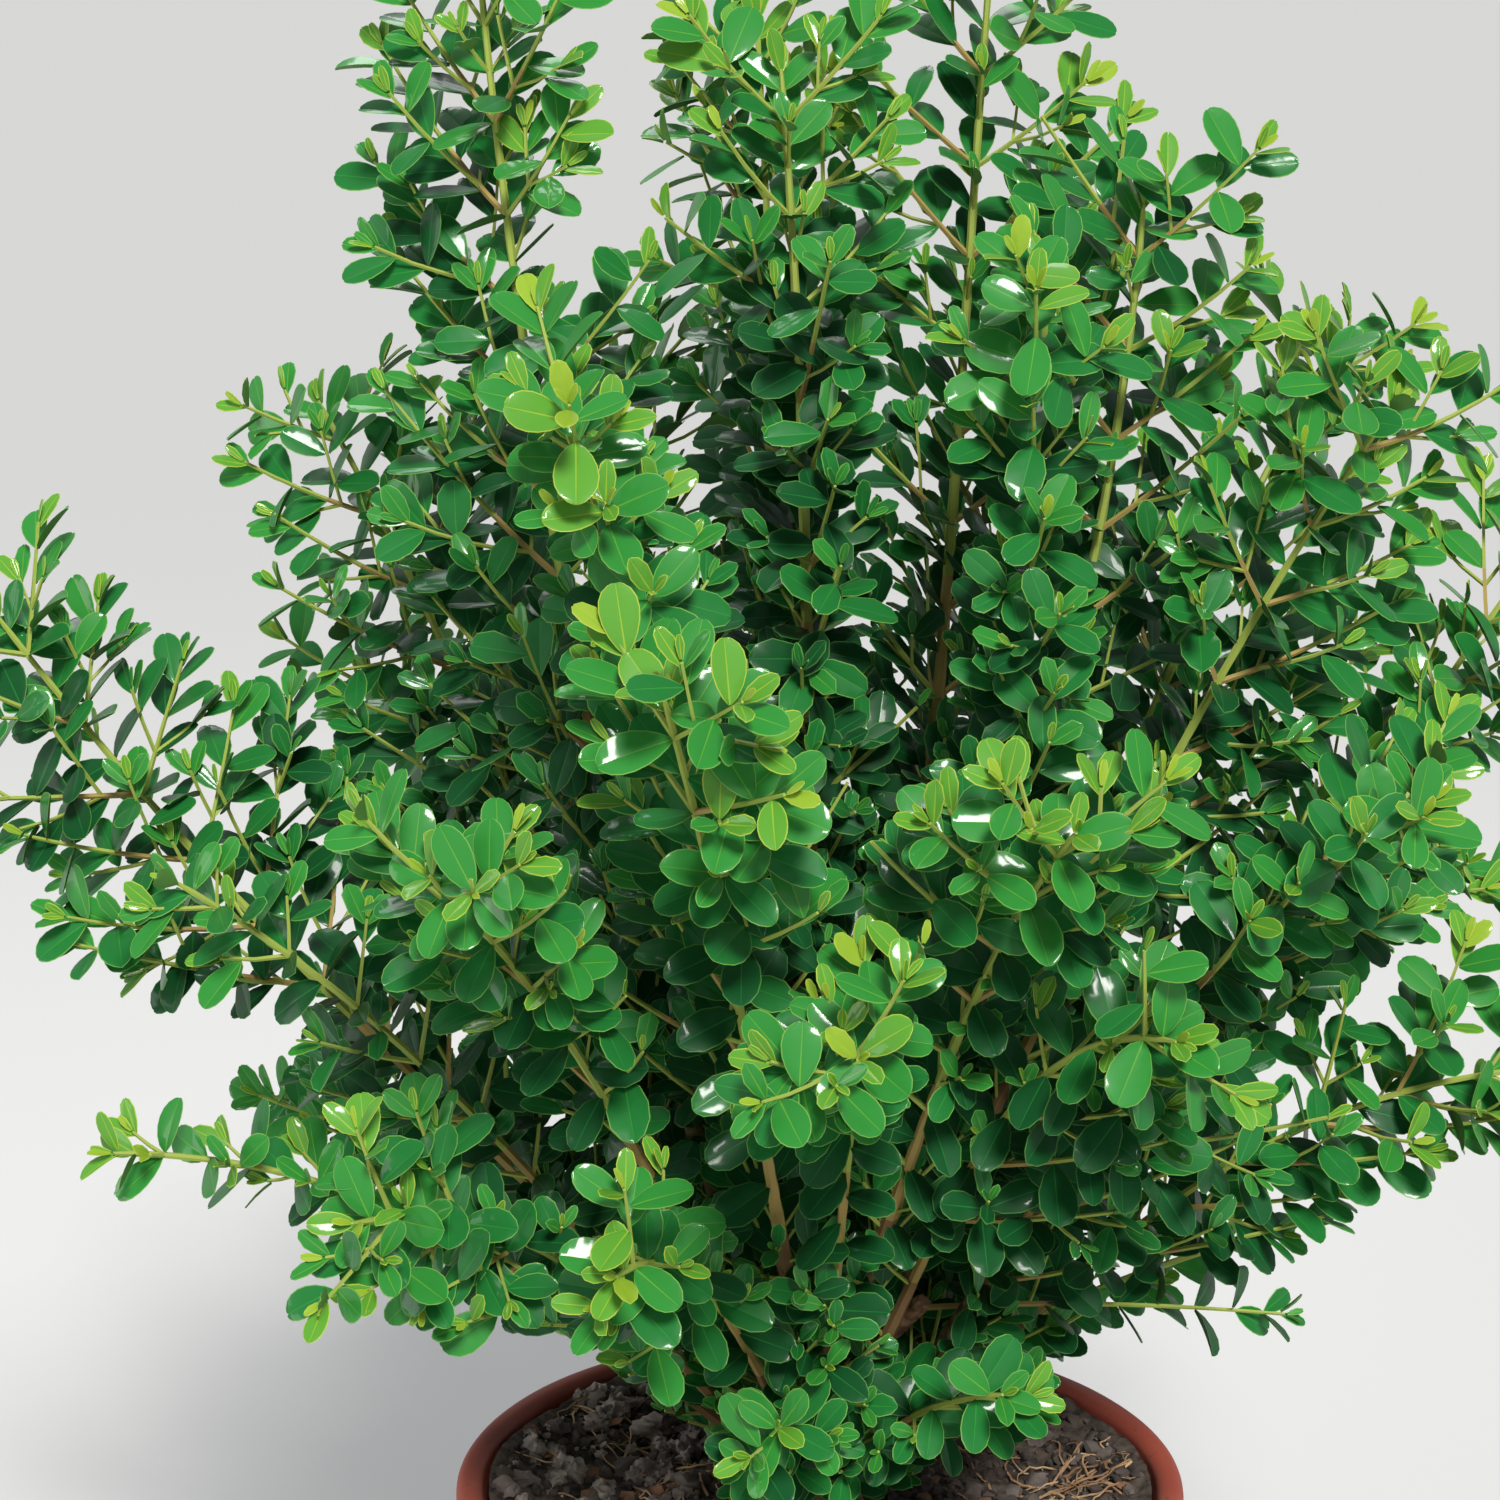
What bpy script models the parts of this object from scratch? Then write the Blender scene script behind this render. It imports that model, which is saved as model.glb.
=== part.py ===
"""A young, unclipped box bush (Buxus) in a round clay pot.

Several long shoots fork from one short trunk. Each shoot is a bare bough that enters a mass of
foliage, and a mass is one stem with side twigs and pairs of leaves. The leaves are fewer and
larger than life, so that the crown has its true outline with few faces.

The frame: metres, +Z up, the origin at the middle of the pot's flat underside. Azimuths are
counted from +X towards +Y, and the front of the bush looks along -Y.
"""

import math
import random

import bmesh
import bpy
from mathutils import Matrix, Vector
from mathutils.bvhtree import BVHTree
from mathutils.kdtree import KDTree

# ---------------------------------------------------------------- driving dimensions, in metres
GAP = 0.0003  # kept between solids that stand against each other

POT_HEIGHT = 0.190
POT_RIM_RADIUS = 0.110
POT_FOOT_RADIUS = 0.076
POT_WALL = 0.008
POT_FLOOR = 0.010
COLLAR_HEIGHT = 0.036
COLLAR_STEP = 0.0035
LIP_RADIUS = 0.0035
DRAIN_HOLES = 3
DRAIN_RADIUS = 0.006
DRAIN_CIRCLE = 0.035

SOIL_BELOW_RIM = 0.012
SOIL_MOUND = 0.003  # how far the compost's surface rises and falls

TRUNK_HEIGHT = 0.094
TRUNK_RADIUS = 0.0085
TRUNK_TIP_RADIUS = 0.0060
FLARE_RADIUS = 0.0130  # at the ground
FLARE_HEIGHT = 0.018
FLARE_LOBES = 4
TRUNK_LEAN = 4.0  # degrees
TRUNK_LEAN_AZIMUTH = 250.0

STUB_LENGTH = 0.058  # an old pruned side stem
STUB_RADIUS = 0.0024
STUB_AZIMUTH = 322.0
STUB_RISE = 48.0  # degrees above level
STUB_FOOT = 0.034  # above the ground

LEAF_LENGTH = 0.050
LEAF_WIDTH = 0.034
LEAF_THICKNESS = 0.0013
LEAF_SIZES = (1.0, 0.85, 0.72)  # tried in turn where room is short
LEAF_APART = 0.018  # between the middles of two leaves
LEAF_ANGLE = 52.0  # degrees between a leaf and the stem that it stands on
TIP_LEAF_ANGLE = 33.0
TIP_LEAF_REACH = 0.027  # from the end of a stem to the tips of its last leaves
NODE_SPACING = 0.042  # between pairs of leaves along a stem
TWIG_NODE_SPACING = 0.044
TWIG_RADIUS = 0.0011
TWIG_TIP_RADIUS = 0.0008
TWIG_ANGLE = 47.0
TWIG_RISE = 0.30  # how strongly a side twig turns up to the light
STEM_TIP_RADIUS = 0.0011

LOWEST_ROOT = 0.005  # of a shoot's root, above the ground
SHOOT_RADIUS = 0.0034  # of the thickest shoot, at its root
LIMBS_APART = 0.0008  # between the surfaces of two limbs
LIMB_CLEARANCE = 0.0009  # between a limb and a leaf
SPACE_MARGIN = 0.0008  # a mass ends this far short of halfway to its neighbour
SAME_NODE = 0.006  # leaves whose roots are this close may touch there

GROUND = POT_HEIGHT - SOIL_BELOW_RIM

# Each tier of shoots, the lowest first. Its shoots are (azimuth of the tip in degrees, reach from
# the pot's axis, height of the tip above the ground). "bare" is the share of a shoot that carries
# no leaves, "rise" the angle at which it leaves the trunk, "tip_rise" the angle at which it ends,
# "twig" the reach of its longest side twig and "leaf" the size of its leaves.
TIERS = {
    "foot": dict(
        bare=0.28, radius=0.0019, rise=42, tip_rise=20, twig=0.050, leaf=0.66, bough=False,
        shoots=[(262, 0.108, 0.072), (298, 0.110, 0.078)],
    ),
    "skirt": dict(
        bare=0.25, radius=0.0022, rise=38, tip_rise=6, twig=0.080, leaf=0.84, bough=False,
        shoots=[
            (30, 0.166, 0.056), (196, 0.215, 0.134), (252, 0.182, 0.140), (226, 0.186, 0.140),
            (352, 0.214, 0.150), (70, 0.196, 0.110), (112, 0.206, 0.124), (152, 0.196, 0.100),
            (18, 0.214, 0.190), (271, 0.215, 0.210), (298, 0.187, 0.199),
        ],
    ),
    "arm": dict(
        bare=0.30, radius=0.0026, rise=40, tip_rise=34, twig=0.088, leaf=0.94, bough=True,
        shoots=[
            (287, 0.198, 0.262), (328, 0.191, 0.249), (204, 0.199, 0.222), (240, 0.203, 0.248),
            (95, 0.214, 0.245), (55, 0.212, 0.235), (135, 0.216, 0.235),
        ],
    ),
    "shoulder": dict(
        bare=0.29, radius=0.0029, rise=48, tip_rise=56, twig=0.092, leaf=1.0, bough=True,
        shoots=[
            (186, 0.238, 0.287), (6, 0.208, 0.288), (258, 0.205, 0.300), (242, 0.148, 0.354),
            (338, 0.166, 0.350), (26, 0.178, 0.350), (68, 0.172, 0.345), (112, 0.178, 0.335),
            (155, 0.172, 0.335),
        ],
    ),
    "leader": dict(
        bare=0.27, radius=0.0032, rise=52, tip_rise=86, twig=0.086, leaf=1.0, bough=True,
        shoots=[
            (310, 0.088, 0.388), (341, 0.091, 0.402), (192, 0.097, 0.464), (108, 0.064, 0.450),
            (24, 0.052, 0.475),
        ],
    ),
    "centre": dict(
        bare=0.26, radius=0.0033, rise=84, tip_rise=88, twig=0.075, leaf=1.0, bough=False,
        shoots=[(236, 0.024, 0.438)],
    ),
}

SEED = 300
CURVE_STEPS = 48  # at which a shoot's curve is measured
BOUGH_SIDES, BOUGH_RINGS = 5, 4
STEM_SIDES = 3
POT_SIDES = 30


# ---------------------------------------------------------------- small helpers
def clear_scene():
    for obj in list(bpy.data.objects):
        bpy.data.objects.remove(obj, do_unlink=True)


def make_material(name, colour, roughness):
    material = bpy.data.materials.new(name)
    material.use_nodes = True
    shader = material.node_tree.nodes["Principled BSDF"]
    shader.inputs["Base Color"].default_value = (*colour, 1.0)
    shader.inputs["Roughness"].default_value = roughness
    shader.inputs["Metallic"].default_value = 0.0
    return material


def make_object(name, vertices, faces, material=None, smooth=False):
    """A mesh object in the scene, with its faces turned to point out."""
    mesh = bpy.data.meshes.new(name)
    mesh.from_pydata([tuple(v) for v in vertices], [], faces)
    shape = bmesh.new()
    shape.from_mesh(mesh)
    bmesh.ops.recalc_face_normals(shape, faces=shape.faces)
    shape.to_mesh(mesh)
    shape.free()
    if smooth:
        mesh.shade_smooth()
        mesh.set_sharp_from_angle(angle=math.radians(40))
    if material:
        mesh.materials.append(material)
    obj = bpy.data.objects.new(name, mesh)
    bpy.context.scene.collection.objects.link(obj)
    return obj


def direction(azimuth, rise):
    """The unit vector at these angles, in degrees."""
    a, e = math.radians(azimuth), math.radians(rise)
    return Vector((math.cos(a) * math.cos(e), math.sin(a) * math.cos(e), math.sin(e)))


def ring_faces(rings, sides):
    """The side faces of a tube whose vertices are rings laid one after another."""
    faces = []
    for r in range(rings - 1):
        for s in range(sides):
            a, b = r * sides + s, r * sides + (s + 1) % sides
            faces.append((a, b, b + sides, a + sides))
    return faces


def tube(name, centres, radii, sides, material=None):
    """A closed tube through these centres, flat at both ends and without a twist."""
    vertices = []
    across = None
    for i, centre in enumerate(centres):
        before, after = centres[max(i - 1, 0)], centres[min(i + 1, len(centres) - 1)]
        along = (after - before).normalized()
        across = along.orthogonal() if across is None else across - along * across.dot(along)
        across.normalize()
        beside = along.cross(across)
        for s in range(sides):
            turn = 2 * math.pi * s / sides
            vertices.append(centre + (across * math.cos(turn) + beside * math.sin(turn)) * radii[i])
    faces = ring_faces(len(centres), sides)
    faces.append(tuple(reversed(range(sides))))
    faces.append(tuple(range((len(centres) - 1) * sides, len(centres) * sides)))
    return make_object(name, vertices, faces, material, smooth=sides > STEM_SIDES)


def turned(name, profile, sides, material=None):
    """A solid turned about +Z from (radius, height) points, which run from the axis at the top
    down the outside and back to the axis."""
    mesh = bpy.data.meshes.new(name)
    edges = [(i, i + 1) for i in range(len(profile) - 1)]
    mesh.from_pydata([(radius, 0, height) for radius, height in profile], edges, [])
    if material:
        mesh.materials.append(material)
    obj = bpy.data.objects.new(name, mesh)
    bpy.context.scene.collection.objects.link(obj)
    screw = obj.modifiers.new("turn", "SCREW")
    screw.steps = sides
    screw.render_steps = sides
    screw.use_smooth_shade = True
    screw.use_merge_vertices = True
    screw.merge_threshold = 0.00001
    return obj


def boolean(obj, operation, other, solver="EXACT"):
    """Adds a Boolean with an object or a whole collection."""
    modifier = obj.modifiers.new(operation.lower(), "BOOLEAN")
    modifier.operation = operation
    modifier.solver = solver
    if isinstance(other, bpy.types.Collection):
        modifier.operand_type = "COLLECTION"
        modifier.collection = other
    else:
        modifier.object = other


def apply_modifiers(obj):
    graph = bpy.context.evaluated_depsgraph_get()
    mesh = bpy.data.meshes.new_from_object(obj.evaluated_get(graph))
    obj.modifiers.clear()
    obj.data = mesh


# ---------------------------------------------------------------- pot and compost
def pot_wall_radius(height):
    """The radius of the pot's tapering body, outside, at this height."""
    share = height / (POT_HEIGHT - COLLAR_HEIGHT)
    top = POT_RIM_RADIUS - COLLAR_STEP - 0.0015
    return POT_FOOT_RADIUS + (top - POT_FOOT_RADIUS) * share


def pot_bore_radius(height):
    """The radius of the pot's inside at this height."""
    share = (height - POT_FLOOR) / (POT_HEIGHT - POT_FLOOR)
    low = POT_FOOT_RADIUS - POT_WALL
    return low + (POT_RIM_RADIUS - POT_WALL - low) * share


def make_pot(material):
    """A tapering clay pot with a collar, a rounded lip and drain holes in a flat floor."""
    collar_foot = POT_HEIGHT - COLLAR_HEIGHT
    mouth = pot_bore_radius(POT_HEIGHT)
    profile = [(0.0, POT_FLOOR), (pot_bore_radius(POT_FLOOR), POT_FLOOR)]
    for turn in (0.0, 0.5, 1.0):
        turn *= math.pi / 2
        radius = mouth + LIP_RADIUS * (1 - math.cos(turn))
        profile.append((radius, POT_HEIGHT - LIP_RADIUS * (1 - math.sin(turn))))
    for turn in (0.0, 0.5, 1.0):
        turn *= math.pi / 2
        radius = POT_RIM_RADIUS - LIP_RADIUS * (1 - math.sin(turn))
        profile.append((radius, POT_HEIGHT - LIP_RADIUS * (1 - math.cos(turn))))
    profile.append((POT_RIM_RADIUS - 0.0015, collar_foot + 0.002))
    profile.append((POT_RIM_RADIUS - 0.0025, collar_foot))
    profile.append((pot_wall_radius(collar_foot), collar_foot - 0.002))
    profile += [(POT_FOOT_RADIUS, 0.002), (POT_FOOT_RADIUS - 0.002, 0.0), (0.0, 0.0)]
    pot = turned("pot", profile, POT_SIDES, material)
    for hole in range(DRAIN_HOLES):
        turn = 2 * math.pi * (hole + 0.5) / DRAIN_HOLES
        bpy.ops.mesh.primitive_cylinder_add(
            vertices=10, radius=DRAIN_RADIUS, depth=4 * POT_FLOOR,
            location=(DRAIN_CIRCLE * math.cos(turn), DRAIN_CIRCLE * math.sin(turn), POT_FLOOR / 2),
        )
        drill = bpy.context.object
        drill.name = f"drill_{hole + 1}"
        drill.hide_render = True
        drill.display_type = "WIRE"
        boolean(pot, "DIFFERENCE", drill)
    return pot


def soil_height(x, y):
    """The height of the compost's uneven surface, which is level round the trunk."""
    radius = math.hypot(x, y)
    waves = math.sin(61 * x + 0.8) * math.cos(53 * y - 0.4) + 0.6 * math.sin(97 * x - 83 * y)
    fade = min(max((radius - 0.020) / 0.030, 0.0), 1.0)
    return GROUND + SOIL_MOUND * waves * fade


def make_soil(material):
    """The compost: it fills the pot, a gap clear of its wall, up to an uneven surface."""
    foot = POT_FLOOR + GAP
    edge = pot_bore_radius(GROUND - SOIL_MOUND * 1.6) - 1.2 * GAP
    rings = [(pot_bore_radius(foot) - 1.2 * GAP, foot), (edge, None)]
    rings += [(edge * share, None) for share in (0.83, 0.62, 0.42, 0.24)]
    vertices = []
    for radius, height in rings:
        for s in range(POT_SIDES):
            turn = 2 * math.pi * s / POT_SIDES
            x, y = radius * math.cos(turn), radius * math.sin(turn)
            vertices.append(Vector((x, y, soil_height(x, y) if height is None else height)))
    faces = ring_faces(len(rings), POT_SIDES)
    faces.append(tuple(range(POT_SIDES)))
    faces.append(tuple(range((len(rings) - 1) * POT_SIDES, len(rings) * POT_SIDES)))
    return make_object("soil", vertices, faces, material)


# ---------------------------------------------------------------- trunk
def trunk_centre(height):
    """The trunk's axis at this height above the ground."""
    lean = math.tan(math.radians(TRUNK_LEAN)) * height
    a = math.radians(TRUNK_LEAN_AZIMUTH)
    return Vector((lean * math.cos(a), lean * math.sin(a), GROUND + height))


def trunk_radius(height):
    share = min(max(height / TRUNK_HEIGHT, 0.0), 1.0)
    flare = max(1 - height / FLARE_HEIGHT, 0.0) ** 2
    even = TRUNK_RADIUS + (TRUNK_TIP_RADIUS - TRUNK_RADIUS) * share
    return even + (FLARE_RADIUS - TRUNK_RADIUS) * flare


def make_trunk(name, grow, material=None):
    """The short trunk, or with grow above 0 a cutter that leaves that much room round it."""
    sides = 12
    heights = [GAP, 0.004, 0.009, 0.018, 0.040, 0.064, TRUNK_HEIGHT - 0.003, TRUNK_HEIGHT]
    heights[0] -= grow
    heights[-1] += grow
    vertices = []
    for height in heights:
        centre = trunk_centre(height)
        lobing = 0.14 * max(1 - height / FLARE_HEIGHT, 0.0)
        radius = trunk_radius(height) * (0.72 if height == heights[-1] else 1.0) + grow
        for s in range(sides):
            turn = 2 * math.pi * s / sides
            reach = radius * (1 + lobing * math.cos(FLARE_LOBES * turn))
            vertices.append(centre + Vector((math.cos(turn), math.sin(turn), 0)) * reach)
    faces = ring_faces(len(heights), sides)
    faces.append(tuple(range(sides)))
    faces.append(tuple(range((len(heights) - 1) * sides, len(heights) * sides)))
    return make_object(name, vertices, faces, material, smooth=True)


# ---------------------------------------------------------------- shoots
class Shoot:
    """One long shoot: a cubic curve from the trunk's axis, or from its tip, to its own tip."""

    def __init__(self, name, tier, tip, seed):
        azimuth, reach, height = tip
        self.name = name
        self.tier = tier
        self.random = random.Random(seed)
        self.azimuth = azimuth
        self.steepness = math.atan2(height, reach)
        self.tip = Vector((0, 0, GROUND + height)) + direction(azimuth, 0) * reach
        self.bow = direction(azimuth + 90, 0) * self.random.uniform(-0.04, 0.04)

    def root_at(self, root, rise):
        """Places the curve, from its root."""
        span = (self.tip - root).length
        level = Vector((self.tip.x - root.x, self.tip.y - root.y, 0)).length
        outwards = direction(self.azimuth, rise)
        first = root + outwards * max(0.30 * level / math.cos(math.radians(rise)), 0.16 * span)
        end = direction(self.azimuth, self.tier["tip_rise"])
        second = self.tip - end * span * 0.42 + self.bow * span
        self.points = (root, first, second, self.tip)
        self.samples = [self.at(i / CURVE_STEPS) for i in range(CURVE_STEPS + 1)]
        steps = [(b - a).length for a, b in zip(self.samples, self.samples[1:])]
        self.lengths = [sum(steps[:i]) for i in range(len(self.samples))]
        self.length = self.lengths[-1]

    def at(self, t):
        a, b, c, d = self.points
        s = 1 - t
        return a * s**3 + b * (3 * s * s * t) + c * (3 * s * t * t) + d * t**3

    def along(self, share):
        """(point, unit tangent) at this share of the shoot's length."""
        wanted = min(max(share, 0.0), 1.0) * self.length
        i = 0
        while i < CURVE_STEPS - 1 and self.lengths[i + 1] < wanted:
            i += 1
        part = (wanted - self.lengths[i]) / (self.lengths[i + 1] - self.lengths[i])
        a, b = self.samples[i], self.samples[i + 1]
        return a.lerp(b, part), (b - a).normalized()

    def radius(self, share):
        """It tapers more slowly at first than near its tip."""
        return STEM_TIP_RADIUS + (self.tier["radius"] - STEM_TIP_RADIUS) * (1 - share) ** 0.9

    def stretch(self, start, end, rings):
        """The centres and radii of the stretch between two shares of its length."""
        shares = [start + (end - start) * i / (rings - 1) for i in range(rings)]
        return [self.along(s)[0] for s in shares], [self.radius(s) for s in shares]


def clear_of(tree, points, radii, limbs, around):
    """Whether a limb stays clear of the limbs in the tree, past the trunk's surface."""
    for point, radius in limbs:
        if (point - trunk_centre(point.z - GROUND)).length < around:
            continue
        for _, index, distance in tree.find_range(point, radius + SHOOT_RADIUS + LIMBS_APART):
            if distance < radius + radii[index] + LIMBS_APART:
                return False
    return True


def place_roots(shoots, stub):
    """Gives each shoot the lowest place up the trunk from which it is clear of the others.

    They are placed from the flattest to the steepest, so that few have to cross."""
    placed = [stub[0].lerp(stub[1], i / 30) for i in range(31)]
    radii = [STUB_RADIUS] * len(placed)
    for shoot in sorted(shoots, key=lambda shoot: shoot.steepness):
        tree = KDTree(len(placed))
        for index, point in enumerate(placed):
            tree.insert(point, index)
        tree.balance()
        height = LOWEST_ROOT + 0.003
        while True:
            rise = shoot.tier["rise"]
            sunk = min(trunk_radius(height) * math.tan(math.radians(rise)), height - LOWEST_ROOT)
            shoot.root_at(trunk_centre(height - sunk), rise)
            centres, thicknesses = shoot.stretch(0.0, 0.75, 150)
            limbs = list(zip(centres, thicknesses))
            if clear_of(tree, placed, radii, limbs, trunk_radius(height) - 0.001):
                break
            height += 0.0005
            if height > TRUNK_HEIGHT - 0.004:
                raise ValueError(f"the trunk is too short for {shoot.name}")
        placed += centres
        radii += thicknesses


def make_shoots(stub):
    """All the shoots, each with its curve. The last goes on from the trunk's tip."""
    shoots = []
    for tier_name, tier in TIERS.items():
        for number, tip in enumerate(tier["shoots"], 1):
            shoots.append(Shoot(f"{tier_name}_{number}", tier, tip, seed=SEED + len(shoots)))
    centre = shoots.pop()
    place_roots(shoots, stub)
    centre.root_at(trunk_centre(TRUNK_HEIGHT), centre.tier["rise"])
    return shoots + [centre]


# ---------------------------------------------------------------- leaves and twigs
def leaf_points(base, along, normal, size):
    """The corners of one leaf: its root, a side, two corners of its blunt tip, the other side, and
    a point under its middle. It is broadest past the middle, and its tip bends down a little."""
    normal = (normal - along * normal.dot(along)).normalized()
    across = along.cross(normal)
    length, half = LEAF_LENGTH * size, LEAF_WIDTH * size / 2
    corners = [
        (0.0, 0.0, 0.0),
        (0.54 * length, half, 0.0),
        (0.98 * length, 0.45 * half, -0.07 * length),
        (0.98 * length, -0.45 * half, -0.07 * length),
        (0.54 * length, -half, 0.0),
        (0.50 * length, 0.0, -LEAF_THICKNESS),
    ]
    return [base + along * x + across * y + normal * z for x, y, z in corners]


LEAF_RIM = 5
LEAF_FACES = [(0, 1, 4), (1, 2, 3), (1, 3, 4)]
LEAF_FACES += [((i + 1) % LEAF_RIM, i, LEAF_RIM) for i in range(LEAF_RIM)]


class Room:
    """The space that a mass keeps to: nearer to its own stem than to another's, and off limbs."""

    def __init__(self, shoots, boughs):
        self.trees = {shoot.name: self.tree([shoot]) for shoot in shoots}
        self.others = {s.name: self.tree([o for o in shoots if o is not s]) for s in shoots}
        self.limb_points = [(p, r) for limb in boughs for p, r in limb]
        self.limbs = KDTree(len(self.limb_points))
        for i, (point, _) in enumerate(self.limb_points):
            self.limbs.insert(point, i)
        self.limbs.balance()
        self.widest = max(radius for _, radius in self.limb_points)

    @staticmethod
    def tree(shoots):
        points = []
        for shoot in shoots:
            start = shoot.tier["bare"]
            points += [shoot.along(start + (1 - start) * i / 60)[0] for i in range(61)]
        tree = KDTree(len(points))
        for i, point in enumerate(points):
            tree.insert(point, i)
        tree.balance()
        return tree

    def off_limbs(self, point):
        height = point.z - GROUND
        if height < TRUNK_HEIGHT + 0.004:
            axis = trunk_centre(height)
            if (point - axis).length < trunk_radius(height) + 0.003:
                return False
        reach = self.widest + LIMB_CLEARANCE + 0.001
        for _, index, distance in self.limbs.find_range(point, reach):
            if distance < self.limb_points[index][1] + LIMB_CLEARANCE:
                return False
        return True

    def off_pot(self, point):
        radius = math.hypot(point.x, point.y)
        if radius < POT_RIM_RADIUS - POT_WALL - 0.002:
            return point.z > GROUND + SOIL_MOUND * 1.6 + 0.002
        if radius < POT_RIM_RADIUS + 0.003:
            return point.z > POT_HEIGHT + 0.003
        return True

    def holds(self, name, points):
        for point in points:
            own = self.trees[name].find(point)[2]
            if own + SPACE_MARGIN > self.others[name].find(point)[2]:
                return False
            if not (self.off_limbs(point) and self.off_pot(point)):
                return False
        return True


def spread_points(corners):
    """Points all over a leaf, for testing where it lies."""
    rim = corners[:LEAF_RIM]
    middle = corners[LEAF_RIM]
    sides = [a.lerp(b, 0.5) for a, b in zip(rim, rim[1:] + rim[:1])]
    halfway = [middle.lerp(p, 0.5) for p in rim + sides]
    return rim[1:] + sides + halfway + [middle]


class Mass:
    """The foliage of one shoot: its pieces are gathered here, and then joined into one solid."""

    def __init__(self, shoot, room):
        self.shoot = shoot
        self.room = room
        self.pieces = bpy.data.collections.new("pieces")
        bpy.context.scene.collection.children.link(self.pieces)
        self.leaves = []
        self.scale = shoot.tier["leaf"]
        start, end = shoot.tier["bare"], 1 - TIP_LEAF_REACH * self.scale / shoot.length
        count = max(int(shoot.length * (end - start) / (NODE_SPACING * self.scale)), 2)
        steps = [(i + 0.35) / (count + 0.35) for i in range(count + 1)]
        self.nodes = [start + (end - start) * step for step in steps]

    def keep(self, obj):
        bpy.context.scene.collection.objects.unlink(obj)
        self.pieces.objects.link(obj)

    def fits(self, corners):
        """Whether a leaf stays in its mass's room, crosses no other leaf and crowds none."""
        middle = corners[LEAF_RIM]
        tree = BVHTree.FromPolygons(corners, LEAF_FACES)
        for other in self.leaves:
            apart = (middle - other[LEAF_RIM]).length
            if apart < LEAF_APART * self.scale:
                return False
            if apart < 1.3 * LEAF_LENGTH and (corners[0] - other[0]).length > SAME_NODE:
                if tree.overlap(BVHTree.FromPolygons(other, LEAF_FACES)):
                    return False
        return self.room.holds(self.shoot.name, spread_points(corners))

    def pair(self, base, stem_along, roll, angle, size):
        """Two leaves opposite each other, facing the stem's tip and the light. A leaf with too
        little room is made smaller, and is left out where that doesn't help."""
        leaves = []
        for side in (0, math.pi):
            outwards = rolled(stem_along, roll + side)
            turn = math.radians(angle + self.shoot.random.uniform(-5, 5))
            along = stem_along * math.cos(turn) + outwards * math.sin(turn)
            along = (along + Vector((0, 0, 0.12))).normalized()
            light = stem_along * 0.4 + Vector((0, 0, 0.45)) + outwards_from_axis(base) * 0.6
            vary = self.shoot.random.uniform(0.92, 1.08) * self.scale
            for share in LEAF_SIZES:
                corners = leaf_points(base, along, light, size * vary * share)
                if self.fits(corners):
                    leaves.append(corners)
                    break
        return leaves

    def add_leaves(self, leaves):
        for corners in leaves:
            self.leaves.append(corners)
            self.keep(make_object("leaf", corners, LEAF_FACES))

    def add_twig(self, base, stem_along, outwards, length):
        """A side twig with pairs of leaves. Shorter ones are tried where it has no room, and it is
        left out where it would carry fewer than two leaves."""
        turn = math.radians(TWIG_ANGLE + self.shoot.random.uniform(-6, 6))
        along = stem_along * math.cos(turn) + outwards * math.sin(turn)
        along = (along + Vector((0, 0, TWIG_RISE))).normalized()
        roll = self.shoot.random.uniform(0, math.pi)
        for share in (1.0, 0.8, 0.6):
            reach = length * share - TIP_LEAF_REACH * self.scale
            end = base + along * reach
            if not self.room.holds(self.shoot.name, [base.lerp(end, i / 8) for i in range(2, 9)]):
                continue
            leaves = self.pair(end - along * 0.0015, along, roll, TIP_LEAF_ANGLE, 0.90)
            place = reach - TWIG_NODE_SPACING * self.scale
            while place > 0.008:
                roll += math.pi / 2
                leaves += self.pair(base + along * place, along, roll, LEAF_ANGLE, 0.96)
                place -= TWIG_NODE_SPACING * self.scale
            if len(leaves) < 2:
                continue
            self.keep(tube("twig", [base, end], [TWIG_RADIUS, TWIG_TIP_RADIUS], STEM_SIDES))
            self.add_leaves(leaves)
            return

    def grow(self):
        """Pairs of leaves up the stem, each turned a quarter from the last, and side twigs."""
        shoot = self.shoot
        start = shoot.tier["bare"]
        roll = shoot.random.uniform(0, math.pi)
        tip, along = shoot.along(self.nodes[-1])
        self.add_leaves(self.pair(tip - along * 0.001, along, roll, TIP_LEAF_ANGLE, 0.85))
        for share in reversed(self.nodes[:-1]):
            base, along = shoot.along(share)
            up = (share - start) / (1 - start)
            length = shoot.tier["twig"] * (1.0 - 0.62 * up**1.5)
            roll += math.pi / 2
            for side in (0, math.pi):
                outwards = rolled(along, roll + math.pi / 2 + side)
                self.add_twig(base, along, outwards, length * shoot.random.uniform(0.84, 1.12))
            self.add_leaves(self.pair(base, along, roll, LEAF_ANGLE, 1.0))

    def solid(self, material):
        """The stem with every twig and leaf joined to it."""
        shoot = self.shoot
        shares = [shoot.tier["bare"] * i / 3 for i in range(3)] + [shoot.tier["bare"]]
        if shoot.tier["bough"]:
            shares = [shoot.tier["bare"] + GAP / shoot.length]
        shares += self.nodes
        centres = [shoot.along(share)[0] for share in shares]
        radii = [shoot.radius(share) for share in shares]
        name = f"foliage_{shoot.name}"
        stem = tube(name, centres, [r * 1.1 for r in radii], STEM_SIDES, material)
        boolean(stem, "UNION", self.pieces, solver="MANIFOLD")
        apply_modifiers(stem)
        for obj in list(self.pieces.objects):
            bpy.data.objects.remove(obj, do_unlink=True)
        bpy.data.collections.remove(self.pieces)
        return stem


def outwards_from_axis(point):
    """The level unit vector from the pot's axis to this point."""
    return Vector((point.x, point.y, 0)).normalized()


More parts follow.
